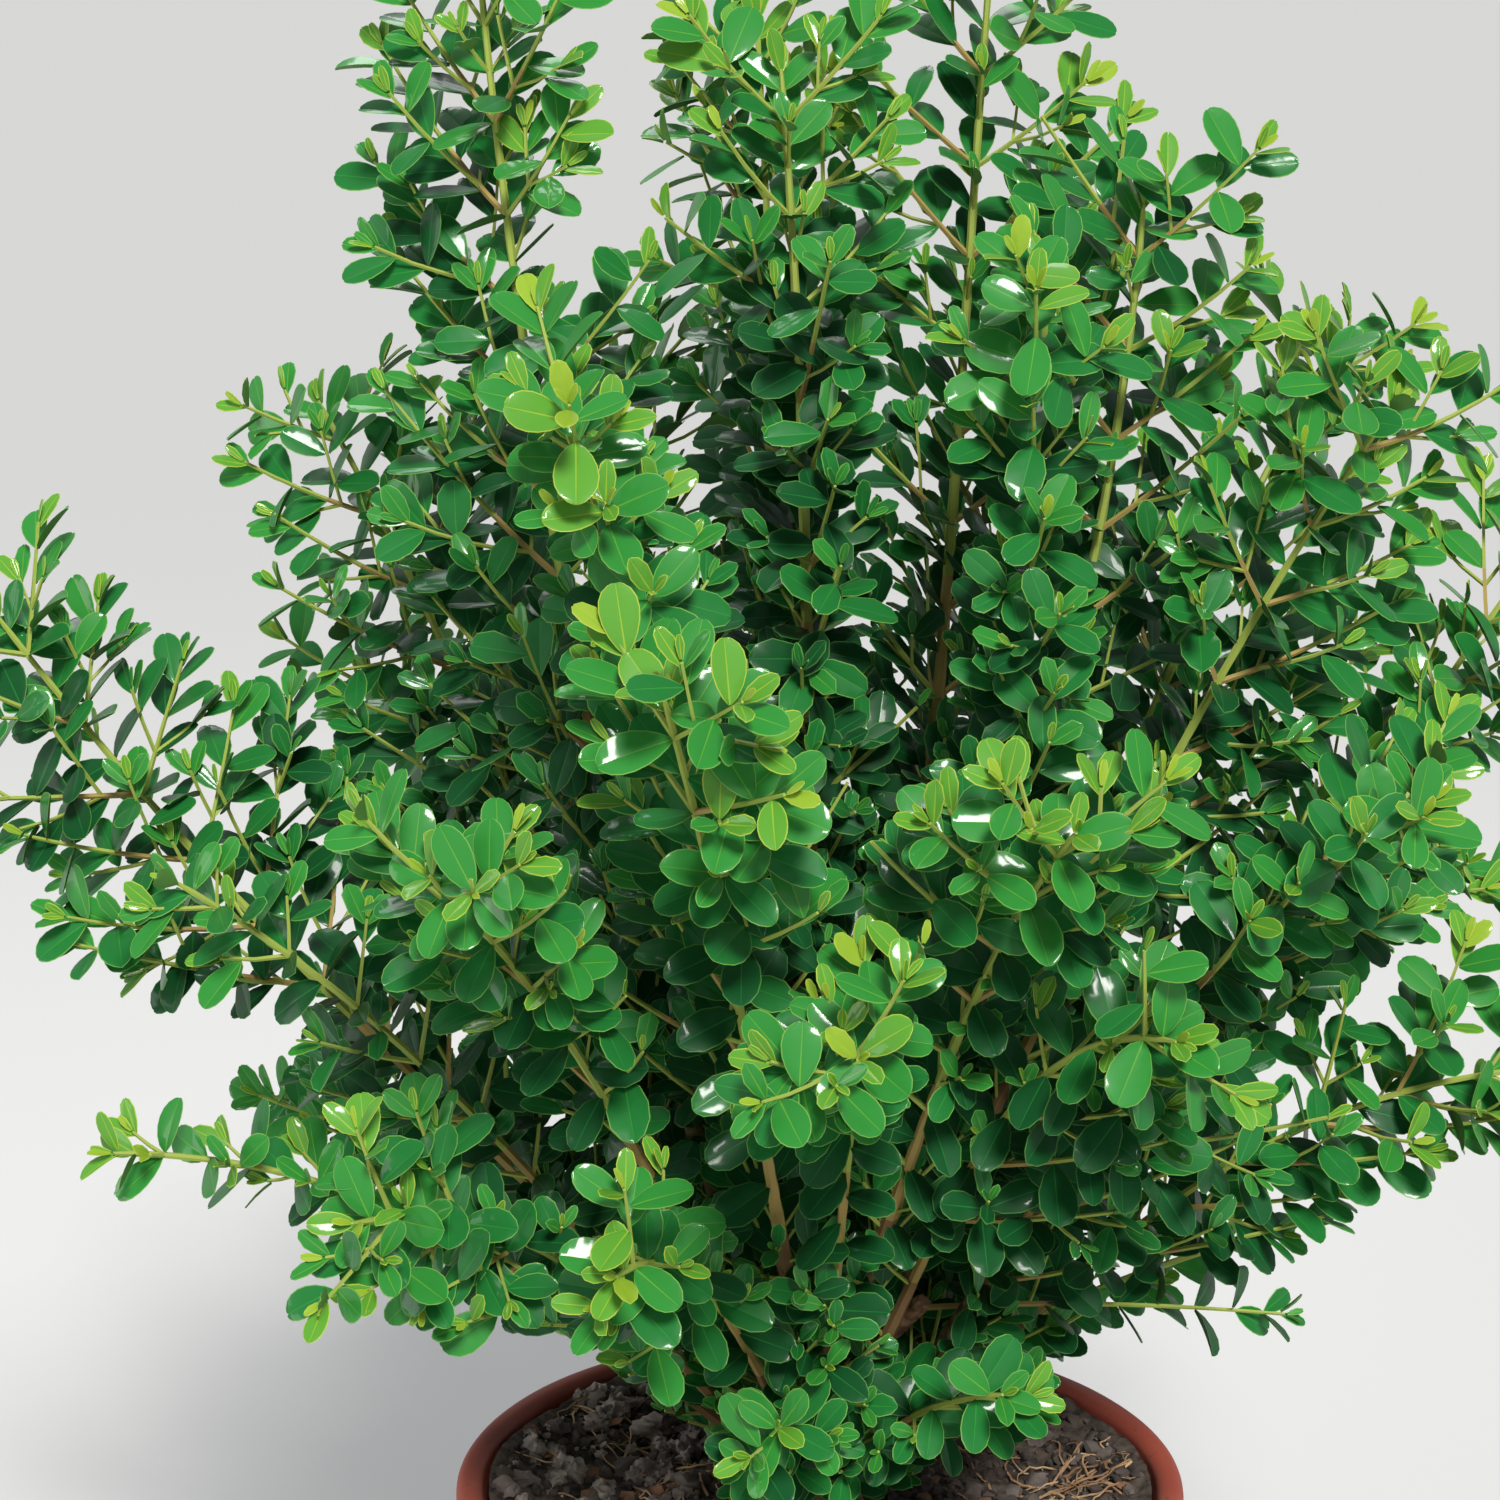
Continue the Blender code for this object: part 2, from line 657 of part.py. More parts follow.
def rolled(along, roll):
    """The unit vector square to along, turned this far round it from level."""
    level = Vector((0, 0, 1)).cross(along)
    if level.length < 0.05:
        level = Vector((0, 1, 0)).cross(along)
    return Matrix.Rotation(roll, 3, along) @ level.normalized()


# ---------------------------------------------------------------- the whole plant
def main():
    clear_scene()
    clay = make_material("clay", (0.36, 0.095, 0.055), 0.75)
    compost = make_material("compost", (0.060, 0.045, 0.035), 0.95)
    bark = make_material("bark", (0.17, 0.11, 0.055), 0.80)
    foliage = make_material("foliage", (0.038, 0.195, 0.048), 0.38)

    make_pot(clay)
    make_soil(compost)
    make_trunk("trunk", 0.0, bark)
    trunk_room = make_trunk("trunk_room", GAP)
    trunk_room.hide_render = True
    trunk_room.display_type = "WIRE"

    foot = trunk_centre(STUB_FOOT)
    head = foot + direction(STUB_AZIMUTH, STUB_RISE) * STUB_LENGTH
    stub = tube("pruned_stub", [foot, head], [STUB_RADIUS, STUB_RADIUS * 0.92], BOUGH_SIDES, bark)
    boolean(stub, "DIFFERENCE", trunk_room)
    limbs = [[(foot.lerp(head, i / 20), STUB_RADIUS) for i in range(21)]]

    shoots = make_shoots((foot, head))
    for shoot in shoots:
        bare = shoot.tier["bare"] if shoot.tier["bough"] else shoot.tier["bare"] * 0.6
        centres, radii = shoot.stretch(0.0, bare, 40)
        limbs.append(list(zip(centres, radii)))
        if not shoot.tier["bough"]:
            continue
        centres, radii = shoot.stretch(0.0, bare, BOUGH_RINGS)
        bough = tube(f"bough_{shoot.name}", centres, radii, BOUGH_SIDES, bark)
        boolean(bough, "DIFFERENCE", trunk_room)

    room = Room(shoots, limbs)
    for shoot in shoots:
        mass = Mass(shoot, room)
        mass.grow()
        solid = mass.solid(foliage)
        if not shoot.tier["bough"]:
            boolean(solid, "DIFFERENCE", trunk_room)


main()
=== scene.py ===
"""The looks of a young, unclipped box bush in a round clay pot.

The frame: metres, +Z up, the origin at the middle of the pot's flat underside. Azimuths are
counted from +X towards +Y, and the front of the bush looks along -Y.
"""

import math
import random

import bmesh
import bpy
import numpy as np
from mathutils import Matrix, Vector, noise
from mathutils.bvhtree import BVHTree
from mathutils.kdtree import KDTree


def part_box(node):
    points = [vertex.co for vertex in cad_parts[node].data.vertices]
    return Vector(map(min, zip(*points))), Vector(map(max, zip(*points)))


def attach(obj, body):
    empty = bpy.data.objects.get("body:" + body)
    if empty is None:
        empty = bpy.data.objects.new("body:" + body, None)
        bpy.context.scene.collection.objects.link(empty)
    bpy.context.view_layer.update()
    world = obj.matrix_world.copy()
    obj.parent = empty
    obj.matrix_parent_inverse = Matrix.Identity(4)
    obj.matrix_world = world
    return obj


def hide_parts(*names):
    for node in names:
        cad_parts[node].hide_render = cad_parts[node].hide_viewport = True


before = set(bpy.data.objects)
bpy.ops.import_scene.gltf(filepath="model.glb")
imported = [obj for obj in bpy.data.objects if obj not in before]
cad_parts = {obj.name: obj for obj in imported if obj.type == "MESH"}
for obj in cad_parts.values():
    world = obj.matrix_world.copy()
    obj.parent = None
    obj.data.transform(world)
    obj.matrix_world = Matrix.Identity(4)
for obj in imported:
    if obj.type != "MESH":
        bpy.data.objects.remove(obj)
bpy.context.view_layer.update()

# ---------------------------------------------------------------- camera, floor and lights
# The camera stands in front of the bush and looks a little down on it. The floor is plain and
# pale. A broad far light falls from high in front, and two soft lights fill its shade from the
# left and from behind.
CAMERA_PLACE = (-0.0212, -0.9887, 0.6388)
CAMERA_DIP = 12.8  # degrees below level
CAMERA_LENS = 84.0  # for a sensor 36 wide, both in millimetres
KEY_DIRECTION = (-0.16, 0.84, -0.73)
KEY_POWER = 3.7
KEY_SPREAD = 14.0  # degrees, as seen from the bush
LIGHT_AIM = Vector((0, 0, 0.40))
SKY_LOW = (0.689, 0.689, 0.677)  # as bright as the far floor, so that no horizon shows
SKY_HIGH = (0.28, 0.295, 0.32)
SKY_FADE = (0.16, 0.34)  # from the one to the other, as sines of the height above the horizon
FLOOR_REACH = 90.0
FLOOR_COLOUR = (0.64, 0.64, 0.63, 1)


def add_object(name, data):
    """A new object in the scene, made of this data."""
    thing = bpy.data.objects.new(name, data)
    bpy.context.scene.collection.objects.link(thing)
    return thing


def soft_light(name, place, size, power, colour=(1.0, 1.0, 1.0)):
    """A square area light that looks at the middle of the bush."""
    data = bpy.data.lights.new(name, "AREA")
    data.size = size
    data.energy = power
    data.color = colour
    light = add_object(name, data)
    light.location = place
    light.rotation_euler = (LIGHT_AIM - light.location).to_track_quat("-Z", "Y").to_euler()


def new_finish(name):
    """A new material and its shader."""
    material = bpy.data.materials.new(name)
    material.use_nodes = True
    return material, material.node_tree.nodes["Principled BSDF"]


def add_nodes(owner, *kinds):
    """New shader nodes of these kinds, for a material or the world."""
    return [owner.node_tree.nodes.new(kind) for kind in kinds]


def tune(node, **values):
    """Sets a node's inputs by their names, which have _ for each space."""
    for name, value in values.items():
        node.inputs[name.replace("_", " ")].default_value = value


def two_tone(node, low, low_colour, high, high_colour):
    """Sets the two stops of a colour ramp."""
    for stop, place, colour in zip(node.color_ramp.elements, (low, high), (low_colour, high_colour)):
        stop.position = place
        stop.color = (*colour, 1)


def wire(owner, *links):
    """Links nodes of a material or the world. Each link is (node, output, node, input)."""
    for source, output, target, socket in links:
        owner.node_tree.links.new(source.outputs[output], target.inputs[socket])


camera_data = bpy.data.cameras.new("camera")
camera_data.lens = CAMERA_LENS
camera_data.sensor_width = 36.0
camera_data.clip_start = 0.01
camera = add_object("camera", camera_data)
camera.location = CAMERA_PLACE
camera.rotation_euler = (math.radians(90 - CAMERA_DIP), 0, 0)
bpy.context.scene.camera = camera

key_data = bpy.data.lights.new("key_light", "SUN")
key_data.energy = KEY_POWER
key_data.angle = math.radians(KEY_SPREAD)
key_data.color = (1.0, 0.98, 0.95)
key_light = add_object("key_light", key_data)
key_light.rotation_euler = Vector(KEY_DIRECTION).to_track_quat("-Z", "Y").to_euler()
soft_light("low_light", (-1.25, -0.20, 0.62), 0.50, 3.4, (1.0, 0.98, 0.96))
soft_light("top_light", (-0.25, 0.95, 1.80), 0.60, 9.0)

world = bpy.data.worlds.new("studio")
world.use_nodes = True
sky = world.node_tree.nodes["Background"]
sky_place, sky_height, sky_tint = add_nodes(
    world, "ShaderNodeTexCoord", "ShaderNodeSeparateXYZ", "ShaderNodeValToRGB"
)
two_tone(sky_tint, SKY_FADE[0], SKY_LOW, SKY_FADE[1], SKY_HIGH)
wire(
    world, (sky_place, "Generated", sky_height, "Vector"), (sky_height, "Z", sky_tint, "Fac"),
    (sky_tint, "Color", sky, "Color"),
)
bpy.context.scene.world = world
bpy.context.scene.view_settings.view_transform = "Standard"

floor_mesh = bpy.data.meshes.new("floor")
floor_shape = bmesh.new()
bmesh.ops.create_circle(floor_shape, cap_ends=True, segments=96, radius=FLOOR_REACH)
floor_shape.to_mesh(floor_mesh)
floor_shape.free()
floor = add_object("floor", floor_mesh)
floor_paint, floor_shader = new_finish("pale_floor")
tune(floor_shader, Base_Color=FLOOR_COLOUR, Roughness=1.0, Specular_IOR_Level=0.0)
floor_mesh.materials.append(floor_paint)

# ---------------------------------------------------------------- the clay pot
# A turned pot of fired clay, tapering to a flat foot with three drain holes, under a collar with a
# rounded lip. The clay is a warm red brown, blotched by firing and dusted paler in patches.
pot_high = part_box("pot")[1]
POT_HEIGHT = pot_high.z
RIM_RADIUS = pot_high.x
FOOT_RADIUS = 0.076
POT_WALL = 0.008
POT_FLOOR = 0.010
COLLAR_HEIGHT = 0.036
COLLAR_STEP = 0.0035
LIP_RADIUS = 0.0035
COLLAR_TAPER = 0.0015
COLLAR_CORNER = 0.002
COLLAR_FACE_FOOT = 0.003  # where its face ends, above its underside
INNER_CORNER = 0.003
FOOT_CORNER = 0.0025
WOBBLE = 0.0004  # how far a hand-finished wall is from round
DRAIN_HOLES = 3
DRAIN_RADIUS = 0.006
DRAIN_CIRCLE = 0.035
POT_SIDES = 180


def on_circle(radius, turn):
    """The (x, y) of a point on a level circle round the origin."""
    return radius * math.cos(turn), radius * math.sin(turn)


def mesh_piece(name, points, faces, materials, slots=None, sharp=40):
    """A mesh object in the scene, smooth but for edges sharper than this many degrees."""
    mesh = bpy.data.meshes.new(name)
    mesh.from_pydata(points, [], faces)
    for material in materials:
        mesh.materials.append(material)
    if slots is not None:
        mesh.polygons.foreach_set("material_index", np.asarray(slots, np.int32))
    mesh.shade_smooth()
    mesh.set_sharp_from_angle(angle=math.radians(sharp))
    mesh.update()
    return add_object(name, mesh)


def ring_faces(rings, sides):
    """The side faces of a tube whose points are rings laid one after another."""
    faces = []
    for r in range(rings - 1):
        for s in range(sides):
            a, b = r * sides + s, r * sides + (s + 1) % sides
            faces.append((a, b, b + sides, a + sides))
    return faces


def pot_bore(height):
    """The radius of the pot's inside at this height."""
    low = FOOT_RADIUS - POT_WALL
    return low + (RIM_RADIUS - POT_WALL - low) * (height - POT_FLOOR) / (POT_HEIGHT - POT_FLOOR)


def arc(middle, radius, start, end, steps):
    """Points (radius from the axis, height) along an arc, between two angles in degrees."""
    turns = [math.radians(start + (end - start) * i / steps) for i in range(steps + 1)]
    return [(middle[0] + radius * math.cos(t), middle[1] + radius * math.sin(t)) for t in turns]


def stretch(start, end, steps):
    """Points along a straight line, without its first and last."""
    shares = [i / steps for i in range(1, steps)]
    return [tuple(a + (b - a) * s for a, b in zip(start, end)) for s in shares]


collar_foot = POT_HEIGHT - COLLAR_HEIGHT
under_collar = RIM_RADIUS - COLLAR_STEP - COLLAR_TAPER
inner_lip = (pot_bore(POT_HEIGHT) + LIP_RADIUS, POT_HEIGHT - LIP_RADIUS)
outer_lip = (RIM_RADIUS - LIP_RADIUS, POT_HEIGHT - LIP_RADIUS)
inner_corner = (pot_bore(POT_FLOOR + INNER_CORNER) - INNER_CORNER, POT_FLOOR + INNER_CORNER)
profile = stretch((0.0, POT_FLOOR), (pot_bore(POT_FLOOR) - INNER_CORNER, POT_FLOOR), 6)
profile += arc(inner_corner, INNER_CORNER, -90, 0, 4)
profile += stretch(profile[-1], (pot_bore(POT_HEIGHT), POT_HEIGHT - LIP_RADIUS), 16)
profile += arc(inner_lip, LIP_RADIUS, 180, 90, 6) + arc(outer_lip, LIP_RADIUS, 90, 0, 6)
profile += stretch(profile[-1], (RIM_RADIUS - COLLAR_TAPER, collar_foot + COLLAR_FACE_FOOT), 6)
collar_corner = (RIM_RADIUS - COLLAR_TAPER - COLLAR_CORNER, collar_foot + COLLAR_CORNER)
profile += arc(collar_corner, COLLAR_CORNER, 0, -80, 4)
profile += [(under_collar + 0.001, collar_foot - 0.0006), (under_collar, collar_foot - 0.002)]
profile += stretch(profile[-1], (FOOT_RADIUS, 0.004), 18)
profile += arc((FOOT_RADIUS - FOOT_CORNER, FOOT_CORNER), FOOT_CORNER, 15, -90, 5)
profile += stretch((FOOT_RADIUS - FOOT_CORNER, 0.0), (0.0, 0.0), 6)

pot_points = []
for radius, height in profile:
    for side in range(POT_SIDES):
        x, y = on_circle(radius, 2 * math.pi * side / POT_SIDES)
        wobble = WOBBLE * noise.noise(Vector((x, y, height)) * 22) if radius > FOOT_RADIUS else 0.0
        pot_points.append((x * (1 + wobble / radius), y * (1 + wobble / radius), height))
pot_faces = ring_faces(len(profile), POT_SIDES)
pot_faces += [tuple(range(POT_SIDES))[::-1]]
pot_faces += [tuple(range((len(profile) - 1) * POT_SIDES, len(profile) * POT_SIDES))]
pot_faces = [face[::-1] for face in pot_faces]

clay, shader = new_finish("fired_clay")
place, blotch, blotch_tint, speck, speck_tint, blend, dust, dust_tint, dusted = add_nodes(
    clay, "ShaderNodeTexCoord", "ShaderNodeTexNoise", "ShaderNodeValToRGB", "ShaderNodeTexNoise",
    "ShaderNodeValToRGB", "ShaderNodeMix", "ShaderNodeTexNoise", "ShaderNodeValToRGB", "ShaderNodeMix",
)
grain, ridges, ridge_height, relief, satin = add_nodes(
    clay, "ShaderNodeTexNoise", "ShaderNodeTexWave", "ShaderNodeBump", "ShaderNodeBump",
    "ShaderNodeMapRange",
)
for texture, scale, detail in ((blotch, 14, 5), (speck, 420, 3), (dust, 30, 8), (grain, 900, 4)):
    tune(texture, Scale=scale, Detail=detail)
    wire(clay, (place, "Object", texture, "Vector"))
two_tone(blotch_tint, 0.32, (0.235, 0.036, 0.019), 0.70, (0.360, 0.062, 0.031))
two_tone(speck_tint, 0.30, (1, 1, 1), 0.36, (0, 0, 0))
two_tone(dust_tint, 0.56, (0, 0, 0), 0.80, (0.35, 0.35, 0.35))
for mix, fill in ((blend, (0.16, 0.050, 0.035, 1)), (dusted, (0.44, 0.19, 0.13, 1))):
    mix.data_type = "RGBA"
    mix.inputs["B"].default_value = fill
ridges.bands_direction = "Z"
tune(ridges, Scale=90, Distortion=1.2)
tune(ridge_height, Strength=0.10, Distance=0.0004)
tune(relief, Strength=0.30, Distance=0.0003)
tune(satin, To_Min=0.50, To_Max=0.78)
wire(
    clay, (blotch, "Fac", blotch_tint, "Fac"), (speck, "Fac", speck_tint, "Fac"),
    (speck_tint, "Color", blend, "Factor"), (blotch_tint, "Color", blend, "A"),
    (dust, "Fac", dust_tint, "Fac"), (dust_tint, "Color", dusted, "Factor"),
    (blend, "Result", dusted, "A"), (dusted, "Result", shader, "Base Color"),
    (place, "Object", ridges, "Vector"), (ridges, "Fac", ridge_height, "Height"),
    (grain, "Fac", relief, "Height"), (ridge_height, "Normal", relief, "Normal"),
    (relief, "Normal", shader, "Normal"), (blotch, "Fac", satin, "Value"),
    (satin, "Result", shader, "Roughness"),
)

pot = mesh_piece("clay_pot", pot_points, pot_faces, [clay])
for hole in range(DRAIN_HOLES):
    turn = 2 * math.pi * (hole + 0.5) / DRAIN_HOLES
    drill_mesh = bpy.data.meshes.new("drill")
    drill_shape = bmesh.new()
    bmesh.ops.create_cone(
        drill_shape, cap_ends=True, segments=32, radius1=DRAIN_RADIUS, radius2=DRAIN_RADIUS,
        depth=4 * POT_FLOOR,
    )
    drill_shape.to_mesh(drill_mesh)
    drill_shape.free()
    drill = add_object("drill", drill_mesh)
    drill.location = (*on_circle(DRAIN_CIRCLE, turn), POT_FLOOR / 2)
    cut = pot.modifiers.new("drain", "BOOLEAN")
    cut.object = drill
    graph = bpy.context.evaluated_depsgraph_get()
    drained = bpy.data.meshes.new_from_object(pot.evaluated_get(graph))
    pot.modifiers.clear()
    pot.data = drained
    bpy.data.objects.remove(drill, do_unlink=True)
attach(pot, "root")
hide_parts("pot")

# ---------------------------------------------------------------- the compost
# Dark, crumbly potting compost fills the pot to a little below its rim, and is banked up against
# the wall. Its top is an uneven crust of fine crumbs, and the bed goes down to the pot's floor.
SOIL_BELOW_RIM = 0.012
SOIL_MOUND = 0.003
BANK_HEIGHT = 0.0088
BANK_WIDTH = 0.040
GROUND = POT_HEIGHT - SOIL_BELOW_RIM
GAP = 0.0003
LEVEL_RADIUS = 0.020  # of the level ground round the trunk,
LEVEL_FADE = 0.030  # and the width over which its waves begin
BED_SIDES = 260
BED_RINGS = 90
CRUST = 0.0016  # height of the fine relief


def clip(value, low=0.0, high=1.0):
    """This value, kept between low and high."""
    return min(max(value, low), high)


def soil_height(x, y):
    """The height of the compost's uneven surface, which is level round the trunk."""
    waves = math.sin(61 * x + 0.8) * math.cos(53 * y - 0.4) + 0.6 * math.sin(97 * x - 83 * y)
    radius = math.hypot(x, y)
    fade = clip((radius - LEVEL_RADIUS) / LEVEL_FADE)
    bank = clip((radius - bed_edge + BANK_WIDTH) / BANK_WIDTH)
    return GROUND + SOIL_MOUND * waves * fade * (1 - 0.6 * bank) + BANK_HEIGHT * bank**1.5


def crust_height(x, y):
    """The same surface with its crumbs."""
    crumbs = noise.fractal(Vector((x, y, 0.3)) * 190, 0.9, 2.1, 3)
    lumps = noise.noise(Vector((x, y, 2.7)) * 75)
    return soil_height(x, y) + CRUST * (0.75 * crumbs + 0.9 * lumps)


bed_edge = pot_bore(GROUND + BANK_HEIGHT - SOIL_MOUND) - 1.5 * GAP
bed_foot = pot_bore(POT_FLOOR) - 0.004
bed_points = [(0.0, 0.0, crust_height(0, 0))]
for ring in range(1, BED_RINGS + 1):
    radius = bed_edge * ring / BED_RINGS
    for side in range(BED_SIDES):
        x, y = on_circle(radius, 2 * math.pi * (side + 0.5 * (ring % 2)) / BED_SIDES)
        bed_points.append((x, y, crust_height(x, y)))
for side in range(BED_SIDES):
    turn = 2 * math.pi * (side + 0.5 * (BED_RINGS % 2)) / BED_SIDES
    bed_points.append((*on_circle(bed_foot, turn), POT_FLOOR + GAP))
bed_faces = [(0, 1 + side, 1 + (side + 1) % BED_SIDES) for side in range(BED_SIDES)]
bed_faces += [tuple(i + 1 for i in face)[::-1] for face in ring_faces(BED_RINGS + 1, BED_SIDES)]
bed_faces += [tuple(range(1 + BED_RINGS * BED_SIDES, 1 + (BED_RINGS + 1) * BED_SIDES))[::-1]]


def crumbly(name, dark, pale, scale, roughness=0.95, grain_scale=1500):
    """A matt, grainy material that goes from one colour to another in patches."""
    material, shader = new_finish(name)
    place, patches, tint, grain, relief = add_nodes(
        material, "ShaderNodeTexCoord", "ShaderNodeTexNoise", "ShaderNodeValToRGB",
        "ShaderNodeTexNoise", "ShaderNodeBump",
    )
    tune(patches, Scale=scale, Detail=6)
    tune(grain, Scale=grain_scale)
    tune(relief, Strength=0.6, Distance=0.0004)
    tune(shader, Roughness=roughness)
    two_tone(tint, 0.36, dark, 0.66, pale)
    wire(
        material, (place, "Object", patches, "Vector"), (place, "Object", grain, "Vector"),
        (patches, "Fac", tint, "Fac"), (tint, "Color", shader, "Base Color"),
        (grain, "Fac", relief, "Height"), (relief, "Normal", shader, "Normal"),
    )
    return material


compost = crumbly("compost", (0.018, 0.012, 0.009), (0.105, 0.078, 0.060), 240)
bed = mesh_piece("compost_bed", bed_points, bed_faces, [compost], sharp=180)
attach(bed, "root")
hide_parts("soil")

# ---------------------------------------------------------------- crumbs, grains and bark chips
# Loose bits lie on the compost: crumbs of it from the size of a pea down, a few pale grains of grit,
# and chips of composted bark. Each kind is one joined mesh.
LUMP_ROUGHNESS = ((0.60, 1.2), (0.50, 3.1), (0.28, 7.5))  # (share of the radius, how fine)
TRUNK_CLEARING = 0.016
DRY_PATCH_WITH_PAINTED_LIGHT = (-0.062, 0.045, 0.075)  # the place and the radius of the driest compost, whose clods are also painted paler there as painted light


def lump_shape(detail):
    """The points and faces of a round lump, before it is squeezed and roughened."""
    shape = bmesh.new()
    bmesh.ops.create_icosphere(shape, subdivisions=detail, radius=1.0)
    points = np.array([v.co for v in shape.verts])
    faces = np.array([[v.index for v in f.verts] for f in shape.faces])
    shape.free()
    return points, faces


def scatter(name, material, count, sizes, flatness, detail, seed, sink=0.3, small=2.0, patch=None):
    """Lumps strewn over the compost, each turned, squeezed and roughened in its own way. A patch
    is the (x, y, radius) that they keep to, and they lie thickest at its middle."""
    draw = random.Random(seed)
    base, faces = lump_shape(detail)
    points, all_faces = [], []
    while len(points) < count:
        radius = (bed_edge - 0.003) * math.sqrt(draw.random())
        x, y = on_circle(radius, draw.uniform(0, 2 * math.pi))
        if radius < TRUNK_CLEARING:
            continue
        if patch and math.hypot(x - patch[0], y - patch[1]) > patch[2] * draw.random() ** 0.7:
            continue
        size = sizes[0] + (sizes[1] - sizes[0]) * draw.random() ** small
        squeeze = np.array([draw.uniform(0.75, 1.25), draw.uniform(0.6, 1.0), flatness])
        turned = Matrix.Rotation(draw.uniform(0, 6.3), 3, "Z")
        turned = turned @ Matrix.Rotation(draw.uniform(-0.6, 0.6), 3, "X")
        shift = Vector((draw.random(), draw.random(), draw.random())) * 50
        rough = np.array([
            1 + sum(k * noise.noise(Vector(p) * f + shift) for k, f in LUMP_ROUGHNESS) for p in base
        ])
        lump = (base * rough[:, None] * squeeze * size / 2) @ np.array(turned).T
        height = crust_height(x, y) + size * flatness * (0.5 - sink)
        all_faces.append(faces + len(points) * len(base))
        points.append(lump + np.array((x, y, height)))
    piece = mesh_piece(
        name, np.concatenate(points).tolist(), np.concatenate(all_faces).tolist(), [material], sharp=45,
    )
    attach(piece, "root")
    return piece


crumb = crumbly("crumb", (0.016, 0.011, 0.009), (0.110, 0.084, 0.068), 120)
grey_crumb = crumbly("grey_crumb", (0.045, 0.035, 0.030), (0.165, 0.132, 0.116), 90)
# pale, dry compost, made paler still as painted light on the left, where the crown shades it
dry_crumb_with_painted_light = crumbly("dry_crumb_with_painted_light", (0.095, 0.077, 0.066), (0.380, 0.320, 0.285), 150)
grit = crumbly("grit", (0.30, 0.27, 0.22), (0.62, 0.58, 0.50), 300, 0.7)
chip = crumbly("bark_chip", (0.075, 0.034, 0.018), (0.260, 0.130, 0.065), 160)
scatter("compost_crumbs", crumb, 3400, (0.0010, 0.0048), 0.85, 1, 11)
scatter("compost_clods", grey_crumb, 320, (0.0022, 0.0098), 0.70, 2, 12, sink=0.30)
# dry clods, thickest on the left: dry compost and painted light
scatter("dry_clods_with_painted_light", dry_crumb_with_painted_light, 170, (0.0016, 0.0105), 0.80, 3, 15, sink=0.25, patch=DRY_PATCH_WITH_PAINTED_LIGHT)
scatter("grit_grains", grit, 150, (0.0008, 0.0022), 0.9, 1, 13, sink=0.05)
scatter("bark_chips", chip, 120, (0.0025, 0.0090), 0.26, 1, 14, sink=-0.3)

# ---------------------------------------------------------------- rootlets
# Dry, tan rootlets and fibres lie on the compost in loose loops, thickest by the wall at the right
# and at the left. They are thinner than a millimetre.
ROOTLET_RADIUS = 0.00042
ROOTLET_STEP = 0.0022
ROOTLET_TUFTS = [((0.086, 0.010), 0.016), ((-0.050, 0.036), 0.028), ((0.0, 0.0), 0.095)]
ROOTLETS_EACH = (34, 34, 80)
ROOTLETS_FROM = 0.020  # the pot's axis


def tube_points(centres, radii, sides):
    """The rings of a tube through these centres, without a twist."""
    centres = np.asarray(centres, float)
    tangents = np.gradient(centres, axis=0)
    tangents /= np.linalg.norm(tangents, axis=1)[:, None]
    across = np.cross(tangents[0], (0.31, 0.17, 0.93))
    turns = 2 * np.pi * np.arange(sides) / sides
    rings = []
    for centre, tangent, radius in zip(centres, tangents, radii):
        across = across - tangent * across.dot(tangent)
        across /= np.linalg.norm(across)
        beside = np.cross(tangent, across)
        circle = np.cos(turns)[:, None] * across + np.sin(turns)[:, None] * beside
        rings.append(centre + circle * radius)
    return np.concatenate(rings)


def capped_tube(rings, sides, offset):
    """The faces of a tube that is closed at both ends, whose points start at offset."""
    faces = [tuple(i + offset for i in face) for face in ring_faces(rings, sides)]
    faces.append(tuple(offset + i for i in range(sides))[::-1])
    faces.append(tuple(offset + (rings - 1) * sides + i for i in range(sides)))
    return faces


draw = random.Random(21)
rootlet_points, rootlet_faces = [], []
for (middle, spread), count in zip(ROOTLET_TUFTS, ROOTLETS_EACH):
    for _ in range(count):
        while True:
            x = middle[0] + draw.uniform(-spread, spread)
            y = middle[1] + draw.uniform(-spread, spread)
            if ROOTLETS_FROM < math.hypot(x, y) < bed_edge - 0.006:
                break
        heading, steps = draw.uniform(0, 2 * math.pi), draw.randint(5, 15)
        lift, bend, centres = draw.uniform(0.0004, 0.0035), draw.uniform(-0.3, 0.3), []
        for step in range(steps + 1):
            arch = math.sin(math.pi * step / steps)
            centres.append((x, y, crust_height(x, y) + 0.0005 + lift * arch))
            heading += bend + draw.uniform(-0.45, 0.45)
            step_x, step_y = on_circle(ROOTLET_STEP, heading)
            x, y = x + step_x, y + step_y
            if math.hypot(x, y) > bed_edge - 0.003:
                heading += math.pi / 2
                x, y = x * 0.96, y * 0.96
        thick = ROOTLET_RADIUS * draw.uniform(0.6, 1.5)
        radii = [thick * (1 - 0.6 * step / steps) for step in range(steps + 1)]
        rootlet_faces += capped_tube(steps + 1, 4, sum(len(p) for p in rootlet_points))
        rootlet_points.append(tube_points(centres, radii, 4))
fibre = crumbly("dry_fibre", (0.24, 0.13, 0.065), (0.50, 0.33, 0.18), 110, 0.8)
rootlets = mesh_piece("rootlets", np.concatenate(rootlet_points).tolist(), rootlet_faces, [fibre])
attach(rootlets, "root")

# ---------------------------------------------------------------- the trunk
# One short trunk stands in the compost on a flare of four root buttresses. Its bark is thin and
# tan, with fine ridges that run up it.
TRUNK_HEIGHT = 0.094
TRUNK_RADIUS = 0.0085
TRUNK_TIP_RADIUS = 0.0060
FLARE_RADIUS = 0.0130
FLARE_HEIGHT = 0.018
FLARE_LOBES = 4
FLARE_LOBING = 0.14  # how far the buttresses stand out, as a share of the radius
TRUNK_LEAN = 4.0
TRUNK_LEAN_AZIMUTH = 250.0
TRUNK_SIDES = 48
TRUNK_RINGS = 90
BARK_RELIEF = 0.10  # the ridges, as a share of a limb's radius


